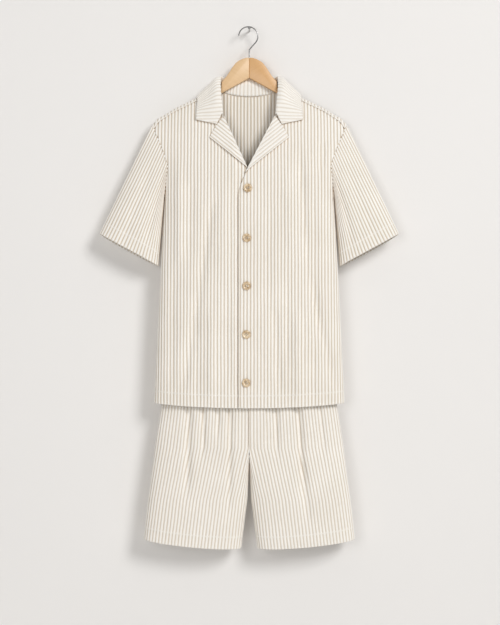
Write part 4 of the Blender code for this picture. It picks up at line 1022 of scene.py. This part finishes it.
def finer_rows(grid, outward, counts, straight):
    """Rows on smooth curves through the given ones: counts says how many there are from each to the next.

    straight is the share by which each column goes straight from row to row instead. Gives the finer grid,
    the directions that face out there, and each row's mean distance along the cloth.
    """
    chords = np.diff(grid, axis=0)
    gaps = np.linalg.norm(chords, axis=-1, keepdims=True)
    ways = chords / gaps
    between = (ways[:-1] * gaps[1:] + ways[1:] * gaps[:-1]) / (gaps[:-1] + gaps[1:])
    slopes = np.concatenate([ways[:1], between, ways[-1:]])
    rows, facing = [grid[0]], [outward[0]]
    for index, count in enumerate(counts):
        start, end = grid[index], grid[index + 1]
        leave, arrive = slopes[index] * gaps[index], slopes[index + 1] * gaps[index]
        share = straight[:, None] * (index >= TURN_ROWS)
        for t in np.linspace(0, 1, count + 1)[1:]:
            curved = curve_between(start, end, leave, arrive, t)
            rows.append(curved * (1 - share) + (start * (1 - t) + end * t) * share)
            facing.append(outward[index] * (1 - t) + outward[index + 1] * t)
    rows = np.array(rows)
    run = np.concatenate([[0], np.cumsum(np.linalg.norm(np.diff(rows, axis=0), axis=-1).mean(axis=1))])
    return rows, np.array(facing), run


def level_ribs(lines, at):
    """Rib numbers of the collar that run level over its front ends, where the columns slant."""
    turn = sum(COLLAR_ROWS[:2])
    ribs = lines.ribs.copy()
    for end in (-1, 1):
        front = np.nonzero(end * at > 0.5)[0]
        order = front[np.argsort(lines.grid[turn, front, 2])]
        heights, numbers = lines.grid[turn, order, 2], lines.ribs[turn, order]
        z = lines.grid[turn:, front, 2]
        level = np.interp(z, heights, numbers) + end * np.clip(heights[0] - z, 0, None) / RIB_PITCH
        share = eased(at[front], LEVEL_FRONT)
        ribs[turn:, front] = ribs[turn:, front] * (1 - share) + level * share
    return ribs


def collar():
    ends = [-end for end in COLLAR_CELL_ENDS[:0:-1]] + list(COLLAR_CELL_ENDS)
    count = len(ends) - 1
    at = np.interp(np.linspace(0, count, count * COLUMNS + 1), np.arange(count + 1), ends)
    grid, outward = collar_grid(at)
    behind = 1 - eased(at, BEHIND_END)
    grid[0] += np.stack([0 * at, -1.3 * behind, -TUCK * behind], -1)
    grid, outward, run = finer_rows(grid, outward, COLLAR_ROWS, eased(at, STRAIGHT_FRONT))
    lines = plain_lines(grid, outward)
    lines = lines._replace(ribs=level_ribs(lines, at))
    relief = np.interp(run / run[-1], [0, 0.3, 0.5, 1], [0.6, 0.5, 0.5, 0.55])
    from_end = np.minimum(np.arange(len(at)), len(at) - 1 - np.arange(len(at))) * 1.3
    roll = np.maximum(hem_roll(run[-1] - run)[:, None], hem_roll(from_end)[None, :])
    return shell("collar_cloth", "collar", lines, thickness=DOUBLE_CLOTH, relief=relief, roll=roll)


def lapel(name, foot, side, panel, relief, roll_loss):
    """A lapel. Its ribs have a share, relief, of their height, less roll_loss beside the roll."""
    apart = np.linspace(0, LAPEL_END, LAPEL_CELLS * COLUMNS + 1)
    rows = np.concatenate([[0, 0.006, 0.014], np.linspace(0.03, 1, 26)])
    grid = lapel_grid(apart, rows, foot, side, panel)
    outward = np.broadcast_to(np.array([0.0, -1, 0]), grid.shape).copy()
    outward[-2:] = (-side, -0.6, 0)
    from_edge = np.arange(len(apart)) * RIB_PITCH / SAMPLES
    roll = np.broadcast_to(hem_roll(from_edge)[None, :], grid.shape[:2])
    relief = relief - roll_loss * smooth((np.append(rows, 1) - 0.8) / 0.15)
    lines = plain_lines(grid, outward)
    return shell(f"{name}_cloth", name, lines, thickness=DOUBLE_CLOTH, relief=relief, roll=roll)


def shorts_panel(name, side, hand, fly):
    rows = fine_rows(CROTCH_ROW, SHORTS_FINE)
    share = np.linspace(0, 1, SHORTS_CELLS * SHORTS_COLUMNS + 1)
    grid = shorts_grid(share, rows, side, hand, fly)
    mask = np.ones((len(rows) - 1, len(share) - 1), bool)
    mask[rows[:-1] >= CROTCH_ROW, :CROTCH_CELLS * SHORTS_COLUMNS] = False
    outward = np.broadcast_to(np.array([0.0, side, 0]), grid.shape).copy()
    outward[..., 0] = hand * 0.4 * np.sign(share - 0.5)[None, :]
    offsets = np.where(rows <= 1, rows * HEM_BAND, FAR_FROM_HEM)
    lines = plain_lines(grid, outward)
    lines = lines._replace(ribs=lines.ribs * SHORTS_RIBS / lines.ribs.max())
    relief = SHORTS_RELIEF * hem_relief(offsets)
    return shell(f"{name}_cloth", name, lines, mask, relief=relief, roll=hem_roll(offsets))


def waistband():
    """The elastic band, gathered on to three rows of stitching."""
    count = BAND_CELLS * COLUMNS
    turn = np.arange(count) / count * 4
    corner = np.floor(turn).astype(int)
    part = np.where(corner % 2 == 0, turn - corner, 1 - (turn - corner))
    right = np.where(corner < 2, 1, -1)
    front = np.where((corner == 0) | (corner == 3), -1, 1)
    levels = np.linspace(BAND_BOTTOM, BAND_TOP, 25)
    grid = []
    for z in levels:
        level = np.full(count, z)
        x, deep = SHORTS_QUARTER.at(part, level)
        middle, _ = mid_and_depth(SHORTS, level)
        grid.append(np.stack([right * x, middle + front * deep, level], -1))
    grid = np.array(grid)
    lines = plain_lines(grid, grid - grid.mean(axis=1, keepdims=True), True)
    share = (levels - BAND_BOTTOM) / (BAND_TOP - BAND_BOTTOM)
    relief = 0.45 + 0.55 * np.abs(np.sin(4 * math.pi * share))
    roll = hem_roll(BAND_TOP - levels)
    return shell("waistband_cloth", "shorts_waistband", lines, closed=True, relief=relief, roll=roll)


# Rings of a stitch: how far along it each is, and the share of its thickness there
STITCH_RINGS = ((-0.5, 0.4), (-0.36, 1), (0.36, 1), (0.5, 0.4))
STITCH_SIDES = 6


def stitch_parts(points, normals, length=2.3, gap=1.1, radius=0.24):
    """Vertices and faces of a row of stitches along a line on a surface."""
    run = lengths(points)
    starts = np.arange(gap, run[-1] - length, length + gap)
    first, last = read_along(points, starts, run), read_along(points, starts + length, run)
    middle = (first + last) / 2
    ahead = unit(last - first)
    beside = unit(np.cross(ahead, read_along(normals, starts + length / 2, run)))
    up = np.cross(beside, ahead)
    angles = np.arange(STITCH_SIDES) / STITCH_SIDES * 2 * math.pi
    verts = []
    for along, share in STITCH_RINGS:
        lift = 0.7 if share == 1 else -0.2
        centre = middle + ahead * (along * length) + up * (lift * radius)
        ring = beside[:, None] * np.cos(angles)[:, None] + up[:, None] * np.sin(angles)[:, None]
        verts.append(centre[:, None] + ring * (share * radius))
    verts = np.stack(verts, 1).reshape(-1, 3)
    faces = []
    sides, last = range(STITCH_SIDES), (len(STITCH_RINGS) - 1) * STITCH_SIDES
    for base in range(0, len(verts), last + STITCH_SIDES):
        for near in range(base, base + last, STITCH_SIDES):
            far = near + STITCH_SIDES
            for side, after in zip(sides, (*sides[1:], 0)):
                faces.append((near + side, near + after, far + after, far + side))
        faces.append(tuple(base + side for side in sides[::-1]))
        faces.append(tuple(base + last + side for side in sides))
    return verts, faces


def stitching(name, lines, **sizes):
    """One piece from many rows of stitches."""
    verts, faces, count = [], [], 0
    for points, normals in lines:
        more, quads = stitch_parts(points, normals, **sizes)
        verts.append(more)
        faces += [tuple(corner + count for corner in quad) for quad in quads]
        count += len(more)
    mesh = bpy.data.meshes.new(name)
    mesh.from_pydata((np.concatenate(verts) * MM).tolist(), [], faces)
    mesh.shade_smooth()
    new_object(name, mesh, thread_material())


def row_line(surface, row, used=slice(None)):
    """A stretch of one row of a surface, as a line to sew along."""
    return surface.points[row, used], surface.normal[row, used]


def hem_line(surface):
    return row_line(surface, HEM_OFFSETS.index(HEM_STITCH))


def cuff_line(surface):
    """The stitching line all round a sleeve, whose hem is its last row."""
    around = np.append(np.arange(surface.points.shape[1]), 0)
    return row_line(surface, -1 - HEM_OFFSETS.index(HEM_STITCH), around)


class Finish:
    """A node material with its Principled shader, and short ways to add nodes to it."""

    def __init__(self, name, **shader_values):
        self.made = bpy.data.materials.new(name)
        self.made.use_nodes = True
        self.tree = self.made.node_tree
        self.shader = self.tree.nodes["Principled BSDF"]
        self.put(self.shader, shader_values)

    def put(self, node, values):
        """Sets a node's inputs and settings by name, or joins an output to them."""
        for key, value in values.items():
            target = node.inputs.get(key.replace("_", " "))
            if isinstance(value, bpy.types.NodeSocket):
                self.tree.links.new(value, target)
            elif target is not None:
                target.default_value = value
            else:
                setattr(node, key, value)

    def add(self, kind, **values):
        node = self.tree.nodes.new(f"ShaderNode{kind}")
        self.put(node, values)
        return node

    def noise(self, place, **values):
        return self.add("TexNoise", Vector=place, **values).outputs["Fac"]

    def tones(self, value, *stops):
        """Colours that follow a value, from stops of place and colour."""
        ramp = self.add("ValToRGB", Fac=value)
        elements = ramp.color_ramp.elements
        for element, (at, colour) in zip(elements, stops):
            element.position = at
            element.color = (*colour, 1)
        for at, colour in stops[len(elements):]:
            elements.new(at).color = (*colour, 1)
        return ramp.outputs["Color"]

    def times(self, first, second):
        """The product of two colours."""
        mix = self.add("Mix", data_type="RGBA", blend_type="MULTIPLY", Factor=1.0)
        self.tree.links.new(first, mix.inputs[6])
        self.tree.links.new(second, mix.inputs[7])
        return mix.outputs[2]

    def bump(self, height, strength, distance, **values):
        node = self.add("Bump", Height=height, Strength=strength, Distance=distance, **values)
        return node.outputs["Normal"]

    def object_place(self):
        return self.add("TexCoord").outputs["Object"]

    def done(self, **shader_values):
        self.put(self.shader, shader_values)
        return self.made


WHITE = (1.0, 1.0, 1.0)
# The crest colour is the cloth's own; the slope and groove colours are painted shade that darkens and warms
# the rib grooves
CREST = (0.925, 0.902, 0.858)
PAINTED_SLOPE_SHADE = (0.855, 0.80, 0.72)
PAINTED_GROOVE_SHADE = (0.61, 0.525, 0.415)
PRESSED = (0.915, 0.885, 0.835)
# Painted shade: the warm brown that creases and gaps between pieces are darkened to
PAINTED_CREASE_SHADE = (0.74, 0.56, 0.38)
THREAD = (0.93, 0.915, 0.88)
GREY_THREAD = ((0.26, 0.25, 0.23), (0.45, 0.43, 0.40))
HORN = ((0.34, 0.215, 0.115), (0.57, 0.405, 0.23), (0.77, 0.62, 0.43))
WOOD_LIGHT = ((0.71, 0.475, 0.255), (0.77, 0.53, 0.30))
WOOD_DARK = ((0.65, 0.375, 0.16), (0.70, 0.42, 0.192))
STEEL = ((0.30, 0.295, 0.29), (0.46, 0.455, 0.45))
GRAIN_SLANT = math.radians(32)
# How far the painted crease shade looks for nearby cloth, in metres
CREASE_SHADE_REACH = 0.0085


def shaded(values, share):
    return tuple(share * value for value in values)


@functools.cache
def cloth_material():
    """Cream plisse cloth: painted warm shade in the grooves and creases, finely crinkled along the ribs,
    slightly uneven in tone.
    """
    cloth = Finish("cream_plisse", Roughness=0.92, Specular_IOR_Level=0.2)
    cloth.put(cloth.shader, dict(Sheen_Weight=0.12, Sheen_Roughness=0.6))
    ribs = cloth.add("UVMap", uv_map="ribs").outputs["UV"]
    turn = cloth.add("Math", operation="MULTIPLY")
    turn.inputs[1].default_value = 2 * math.pi
    cloth.tree.links.new(cloth.add("SeparateXYZ", Vector=ribs).outputs["X"], turn.inputs[0])
    wave = cloth.add("Math", operation="COSINE", Value=turn.outputs[0]).outputs[0]
    height = cloth.add("MapRange", From_Min=-1.0, From_Max=1.0, Value=wave).outputs["Result"]
    pressed = cloth.add("Attribute", attribute_name="pressed").outputs["Fac"]
    ironed = cloth.add("Mix", data_type="RGBA", Factor=pressed)
    ironed.inputs[7].default_value = (*PRESSED, 1)
    # The ribs' colour ramp paints shade into the grooves and slopes; where the ribs are pressed flat it
    # gives way to the pressed tone
    cloth.tree.links.new(cloth.tones(height, (0.0, PAINTED_GROOVE_SHADE), (0.38, PAINTED_SLOPE_SHADE), (0.72, CREST)), ironed.inputs[6])
    place = cloth.object_place()
    patches = cloth.noise(place, Scale=14.0, Detail=3.0, Roughness=0.5)
    colour = cloth.times(ironed.outputs[2], cloth.tones(patches, (0.3, (0.955, 0.95, 0.94)), (0.7, WHITE)))
    # Painted shade: ambient occlusion darkens the colour to a warm brown in creases, gaps between pieces and
    # under edges
    painted_crease_shade = cloth.add("AmbientOcclusion", samples=4, Distance=CREASE_SHADE_REACH).outputs["AO"]
    colour = cloth.times(colour, cloth.tones(painted_crease_shade, (0.0, PAINTED_CREASE_SHADE), (0.75, WHITE)))
    stretch = cloth.add("VectorMath", operation="MULTIPLY")
    stretch.inputs[1].default_value = (1.0, 0.55, 1.0)
    cloth.tree.links.new(ribs, stretch.inputs[0])
    crinkle = cloth.noise(stretch.outputs[0], Scale=3.2, Detail=4.0, Roughness=0.6)
    weave = cloth.noise(place, Scale=1500.0, Detail=2.0)
    rough_bump = cloth.bump(crinkle, 0.55, 0.0007)
    return cloth.done(Base_Color=colour, Normal=cloth.bump(weave, 0.35, 0.0002, Normal=rough_bump))


@functools.cache
def thread_material():
    thread = Finish("cream_thread", Roughness=0.7)
    twist = thread.noise(thread.object_place(), Scale=900.0, Detail=2.0)
    colour = thread.tones(twist, (0.3, shaded(THREAD, 0.9)), (0.7, THREAD))
    return thread.done(Base_Color=colour, Normal=thread.bump(twist, 0.4, 0.0001))


def grey_thread_material():
    thread = Finish("grey_thread", Roughness=0.6)
    twist = thread.noise(thread.object_place(), Scale=1200.0, Detail=2.0)
    return thread.done(Base_Color=thread.tones(twist, (0.3, GREY_THREAD[0]), (0.7, GREY_THREAD[1])))


def horn_material():
    """Mottled tan horn with darker streaks and a soft polish."""
    horn = Finish("mottled_horn", Coat_Weight=0.35, Coat_Roughness=0.15)
    place = horn.add("NewGeometry").outputs["Position"]
    cloud = horn.noise(place, Scale=150.0, Detail=4.0, Roughness=0.6, Distortion=1.2)
    colour = horn.tones(cloud, (0.34, HORN[0]), (0.47, HORN[1]), (0.6, HORN[2]))
    polish = horn.add("MapRange", To_Min=0.22, To_Max=0.42, Value=cloud).outputs["Result"]
    return horn.done(Base_Color=colour, Roughness=polish, Normal=horn.bump(cloud, 0.15, 0.0002))


def wood_material(name, tones, side):
    """Lacquered wood whose grain slants down towards the arm's tip."""
    wood = Finish(name, Roughness=0.42, Coat_Weight=0.25, Coat_Roughness=0.25)
    angle, place = side * GRAIN_SLANT, wood.object_place()
    slant = wood.add("VectorRotate", rotation_type="Y_AXIS", Angle=angle, Vector=place)
    stretch = wood.add("VectorMath", operation="MULTIPLY")
    stretch.inputs[1].default_value = (26.0, 150.0, 800.0)
    wood.tree.links.new(slant.outputs["Vector"], stretch.inputs[0])
    grain = wood.noise(stretch.outputs["Vector"], Scale=1.0, Detail=6.0, Roughness=0.6, Distortion=0.3)
    colour = wood.tones(grain, (0.34, tones[0]), (0.66, tones[1]))
    return wood.done(Base_Color=colour, Normal=wood.bump(grain, 0.1, 0.0002))


def steel_material():
    steel = Finish("plated_steel", Metallic=1.0)
    wear = steel.noise(steel.object_place(), Scale=400.0, Detail=4.0)
    polish = steel.add("MapRange", To_Min=0.2, To_Max=0.38, Value=wear).outputs["Result"]
    return steel.done(Base_Color=steel.tones(wear, (0.3, STEEL[0]), (0.7, STEEL[1])), Roughness=polish)


# Buttons, in millimetres: the turned face, its four holes, the thread through them and their buttonholes
BUTTON_PROFILE = (
    (0, 1.7), (2.6, 1.7), (4.6, 1.9), (5.6, 2.35), (6.6, 2.8), (7.6, 2.95), (8.5, 2.85), (9.2, 2.4),
    (9.5, 1.8), (9.4, 1.2), (8.8, 0.5), (7.6, 0.05), (7.0, 0), (0, 0),
)
HOLE_RADIUS = 0.95
HOLE_SPREAD = 2.1
THREAD_RADIUS = 0.36
THREAD_HEIGHT = 2.15
THREAD_APART = 0.3
THREAD_OVER = 0.25
THREAD_SINK = 1.6
THREAD_FLAT = 0.82
BUTTONHOLE_HALF = 11.5
BUTTONHOLE_EDGE = 0.75
BUTTONHOLE_STEP = 0.55
BUTTONHOLE_SHIFT = 1.0
BUTTONHOLE_LIFT = 0.15
SLIT_HALF = 0.15


def turned_mesh(name, profile, steps):
    """A closed turned shape about Z, from radius and height down its outer side."""
    shape = bmesh.new()
    rings = []
    for radius, height in profile:
        count = steps if radius else 1
        angles = [2 * math.pi * step / count for step in range(count)]
        places = [(radius * math.cos(a), radius * math.sin(a), height) for a in angles]
        rings.append([shape.verts.new([value * MM for value in place]) for place in places])
    for upper, lower in zip(rings, rings[1:]):
        for step in range(steps):
            after = (step + 1) % steps
            if len(upper) == 1:
                shape.faces.new((upper[0], lower[step], lower[after]))
            elif len(lower) == 1:
                shape.faces.new((upper[step], lower[0], upper[after]))
            else:
                shape.faces.new((upper[step], lower[step], lower[after], upper[after]))
    mesh = bpy.data.meshes.new(name)
    shape.to_mesh(mesh)
    shape.free()
    return mesh


def drilled_button():
    """One fine button mesh with its four holes cut through."""
    link = bpy.context.scene.collection.objects.link
    blank = bpy.data.objects.new("button_blank", turned_mesh("button", BUTTON_PROFILE, 56))
    link(blank)
    drills = []
    for across, up in ((-1, -1), (-1, 1), (1, -1), (1, 1)):
        mesh = turned_mesh("drill", ((0, 5), (HOLE_RADIUS, 5), (HOLE_RADIUS, -5), (0, -5)), 16)
        drill = bpy.data.objects.new("drill", mesh)
        drill.location = (across * HOLE_SPREAD * MM, up * HOLE_SPREAD * MM, 0)
        link(drill)
        drills.append(drill)
        cut = blank.modifiers.new("hole", "BOOLEAN")
        cut.operation = "DIFFERENCE"
        cut.object = drill
    bpy.context.view_layer.update()
    made = bpy.data.meshes.new_from_object(blank.evaluated_get(bpy.context.evaluated_depsgraph_get()))
    for each in (blank, *drills):
        bpy.data.objects.remove(each, do_unlink=True)
    made.shade_smooth()
    made.set_sharp_from_angle(angle=math.radians(40))
    return made


def thread_curve(name, lines, finish):
    """Round threads along lines of points, as one curve."""
    curve = bpy.data.curves.new(name, "CURVE")
    curve.dimensions = "3D"
    curve.bevel_depth = THREAD_RADIUS * MM
    curve.bevel_resolution = 2
    curve.use_fill_caps = True
    for points in lines:
        spline = curve.splines.new("POLY")
        spline.points.add(len(points) - 1)
        for target, point in zip(spline.points, points):
            target.co = (*(Vector(point) * MM), 1.0)
    new_object(name, curve, finish)


def button(number, mesh, horn, thread):
    node = f"button_{number}"
    low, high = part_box(node)
    centre = (low + high) / 2
    made = new_object(f"horn_{node}", mesh.copy(), horn)
    made.location = (centre.x, high.y, centre.z)
    made.rotation_euler = (math.radians(90), math.radians(17 * number - 30), 0)
    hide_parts(node)
    turn = made.rotation_euler.to_matrix()
    lines = []
    for across in (-1, 1):
        for shift in (-THREAD_APART, THREAD_APART):
            line = []
            for part in np.linspace(-1, 1, 9):
                height = THREAD_HEIGHT - THREAD_SINK * max(0, abs(part) - THREAD_FLAT) / (1 - THREAD_FLAT)
                spot = Vector((across * HOLE_SPREAD + shift, part * (HOLE_SPREAD + THREAD_OVER), height))
                line.append(turn @ spot + Vector(made.location) / MM)
            lines.append(line)
    thread_curve(f"{node}_thread", lines, thread)


def line_on(grid, x, z):
    """A line to sew along, laid on a panel at places seen from the front."""
    return np.stack([x, depth_on(grid, x, z), z], -1), np.tile([0.0, -1.0, 0.0], (len(x), 1))


def buttonhole_lines(grid, x, z):
    """Stitches side by side round a level slit in the cloth at a place."""
    lines = []
    for step in np.arange(-BUTTONHOLE_HALF, BUTTONHOLE_HALF + 0.1, BUTTONHOLE_STEP):
        for up in (-1, 1):
            ends = np.array([z + up * SLIT_HALF, z + up * (SLIT_HALF + 2 * BUTTONHOLE_EDGE)])
            points, normals = line_on(grid, np.full(2, x + step + BUTTONHOLE_SHIFT), ends)
            lines.append((points - (0, BUTTONHOLE_LIFT, 0), normals))
    return lines


# Hanger: how near the middle the mitre's points are, and half the gap that is left when they are moved there
MITRE_REACH = 0.4
MITRE_GAP = 0.02
EASED_EDGE = 1.3
SHARP_ANGLE = math.radians(50)


def hanger_arm(node, tones, side):
    """The arm's own shape with its edges eased and its mitre glued close."""
    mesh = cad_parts[node].data.copy()
    mesh.materials.clear()
    shape = bmesh.new()
    shape.from_mesh(mesh)
    bmesh.ops.remove_doubles(shape, verts=shape.verts, dist=0.01 * MM)
    flat = [edge for edge in shape.edges if edge.is_manifold and edge.calc_face_angle() < math.radians(1)]
    bmesh.ops.dissolve_edges(shape, edges=flat, use_verts=False)
    for vert in shape.verts:
        if abs(vert.co.x) < MITRE_REACH * MM:
            vert.co.x = side * MITRE_GAP * MM
    shape.to_mesh(mesh)
    shape.free()
    arm = new_object(f"{node}_wood", mesh, wood_material(f"{node}_grain", tones, side))
    bevel = arm.modifiers.new("eased", "BEVEL")
    bevel.width = EASED_EDGE * MM
    bevel.segments = 3
    bevel.limit_method = "ANGLE"
    bevel.angle_limit = SHARP_ANGLE
    bevel.harden_normals = True
    mesh.shade_smooth()
    mesh.set_sharp_from_angle(angle=SHARP_ANGLE)
    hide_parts(node)


def hanger_and_hook():
    hanger_arm("hanger_arm_left", WOOD_DARK, 1)
    hanger_arm("hanger_arm_right", WOOD_LIGHT, -1)
    steel = steel_material()
    for name in ("hanger_hook", "wall_pin"):
        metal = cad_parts[name]
        metal.data.materials.clear()
        metal.data.materials.append(steel)


# What each piece was cut to, in metres: width, length and area, how it is held and what it rests on
Cut = namedtuple("Cut", "pieces width length area held rests_on")
CUTS = records(
    Cut,
    (("front_left", "front_right"), 0.29, 0.73, 0.185, "hung", ("back_cloth",)),
    (("back",), 0.54, 0.76, 0.37, "hung", ("hanger_arm_left_wood", "hanger_arm_right_wood")),
    (("sleeve_left", "sleeve_right"), 0.46, 0.27, 0.095, "hung", ("back_cloth",)),
    (("collar",), 0.50, 0.12, 0.05, "folded", ("back_cloth",)),
    (("lapel_left",), 0.09, 0.13, 0.0055, "folded", ("front_left_cloth",)),
    (("lapel_right",), 0.09, 0.13, 0.0055, "folded", ("front_right_cloth",)),
    (("shorts_front_left", "shorts_front_right"), 0.30, 0.48, 0.13, "gathered", ("waistband_cloth",)),
    (("shorts_back_left", "shorts_back_right"), 0.30, 0.48, 0.13, "gathered", ("waistband_cloth",)),
    (("waistband",), 0.90, 0.036, None, "gathered", ("back_cloth",)),
)


# Studio, in metres
CAMERA_PLACE = (0.0016, -3.060, -0.6454)
CAMERA_LENS = 76.8
WALL_HALF_WIDTH = 1.7
WALL_TOP = 1.2
WALL_Y = 0.0006
FLOOR_Z = -1.95
FLOOR_REACH = 6.0
WALL_TONE = (0.835, 0.818, 0.80)
FLOOR_TONE = (0.80, 0.785, 0.765)
SKY_TONE = (1.0, 0.99, 0.975, 1)
AMBIENT = 0.32
Light = namedtuple("Light", "name place power size")
LIGHTS = records(
    Light,
    ("key", (3.15, -5.05, 2.25), 222.0, 2.3),
    ("front", (-1.2, -3.5, -0.3), 27.0, 1.6),
    ("fill", (-1.2, 2.6, 0.2), 18.0, 1.6),
)
AIM = (0.0, 0.0, -0.6)


def plain_material(name, tone, roughness, scale):
    plain = Finish(name, Roughness=roughness, Specular_IOR_Level=0.15)
    mottle = plain.noise(plain.object_place(), Scale=scale, Detail=3.0)
    plain.done(Base_Color=plain.tones(mottle, (0.2, shaded(tone, 0.985)), (0.8, tone)))
    return plain


def open_from_behind(wall):
    """Lets light and sight through a backdrop from its rear side."""
    facing = wall.add("NewGeometry").outputs["Backfacing"]
    ray = wall.add("LightPath").outputs["Is Shadow Ray"]
    either = wall.add("Math", operation="MAXIMUM")
    mix = wall.add("MixShader", Fac=either.outputs[0])
    for output, target in (
        (facing, either.inputs[0]),
        (ray, either.inputs[1]),
        (wall.shader.outputs[0], mix.inputs[1]),
        (wall.add("BsdfTransparent").outputs[0], mix.inputs[2]),
        (mix.outputs[0], wall.tree.nodes["Material Output"].inputs["Surface"]),
    ):
        wall.tree.links.new(output, target)


def stage_plane(name, corners, finish):
    mesh = bpy.data.meshes.new(name)
    mesh.from_pydata(corners, [], [(0, 1, 2, 3)])
    made = bpy.data.objects.new(name, mesh)
    made.data.materials.append(finish.made)
    bpy.context.scene.collection.objects.link(made)


def area_light(name, place, power, size):
    light = bpy.data.lights.new(name, "AREA")
    light.shape = "DISK"
    light.size = size
    light.energy = power
    made = bpy.data.objects.new(name, light)
    made.location = place
    made.rotation_euler = (Vector(AIM) - Vector(place)).to_track_quat("-Z", "Y").to_euler()
    bpy.context.scene.collection.objects.link(made)


def studio():
    wall = plain_material("pale_wall", WALL_TONE, 0.9, 2.0)
    open_from_behind(wall)
    turn = ((-1, 0), (1, 0), (1, 1), (-1, 1))
    corners = [(x * WALL_HALF_WIDTH, WALL_Y, WALL_TOP if up else FLOOR_Z) for x, up in turn]
    stage_plane("backdrop", corners, wall)
    corners = [(x * FLOOR_REACH, (2 * y - 1) * FLOOR_REACH, FLOOR_Z) for x, y in turn]
    stage_plane("floor", corners, plain_material("pale_floor", FLOOR_TONE, 0.7, 3.0))
    for light in LIGHTS:
        area_light(*light)
    scene = bpy.context.scene
    world = bpy.data.worlds.new("studio")
    world.use_nodes = True
    sky = world.node_tree.nodes["Background"]
    sky.inputs["Color"].default_value = SKY_TONE
    sky.inputs["Strength"].default_value = AMBIENT
    scene.world = world
    scene.view_settings.view_transform = "Standard"
    scene.view_settings.look = "None"
    lens = bpy.data.cameras.new("camera")
    lens.sensor_width = 36.0
    lens.lens = CAMERA_LENS
    lens.clip_start = 0.05
    camera = bpy.data.objects.new("camera", lens)
    camera.location = CAMERA_PLACE
    camera.rotation_euler = (math.radians(90), 0, 0)
    scene.collection.objects.link(camera)
    scene.camera = camera


def dress_shirt():
    left, left_grid = shirt_front("left", ROLL_FOOT_LEFT)
    right, right_grid = shirt_front("right", ROLL_FOOT_RIGHT)
    back = shirt_back()
    sleeves = [sleeve("sleeve_left", 1), sleeve("sleeve_right", -1)]
    collar()
    lapel("lapel_left", LAPEL_FOOT_LEFT, 1, left_grid, 0.65, 0.4)
    lapel("lapel_right", LAPEL_FOOT_RIGHT, -1, right_grid, 0.8, 0.5)
    lines = [hem_line(each) for each in (left, right, back)] + [cuff_line(each) for each in sleeves]
    for hand in (-1, 1):
        out = hand * back.ribs[-2]
        lines.append(row_line(back, -2, (out > NECK_HALF / RIB_PITCH + 0.3) & (out < out.max() - 0.3)))
    stitching("shirt_stitches", lines)
    holes = []
    for number in range(1, 6):
        low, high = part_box(f"button_{number}")
        centre = (low + high) / 2 / MM
        holes += buttonhole_lines(left.points, centre.x, centre.z)
    stitching("buttonhole_stitches", holes, length=1.3, gap=0.1, radius=0.26)


def fly_line(panel):
    """The J of stitching: down beside the mock fly, then round to the centre seam."""
    turn = np.radians(np.linspace(0, 90, 14))[1:]
    x = np.concatenate([np.full(20, FLY_WIDTH), 1 + (FLY_WIDTH - 1) * np.cos(turn)])
    down = FLY_TURN_Z + (FLY_STITCH_FOOT - FLY_TURN_Z) * np.sin(turn)
    z = np.concatenate([np.linspace(BAND_BOTTOM - 6, FLY_TURN_Z, 20), down])
    return line_on(panel.points[-FLY_ROWS:, CROTCH_CELLS * SHORTS_COLUMNS:], x, z)


def dress_shorts():
    panels = [
        shorts_panel("shorts_front_left", -1, 1, True),
        shorts_panel("shorts_front_right", -1, -1, False),
        shorts_panel("shorts_back_left", 1, 1, False),
        shorts_panel("shorts_back_right", 1, -1, False),
    ]
    waistband()
    stitching("shorts_stitches", [hem_line(panel) for panel in panels] + [fly_line(panels[0])])


def dress_buttons():
    mesh, horn, thread = drilled_button(), horn_material(), grey_thread_material()
    for number in range(1, 6):
        button(number, mesh, horn, thread)


dress_shirt()
dress_shorts()
dress_buttons()
hanger_and_hook()
studio()
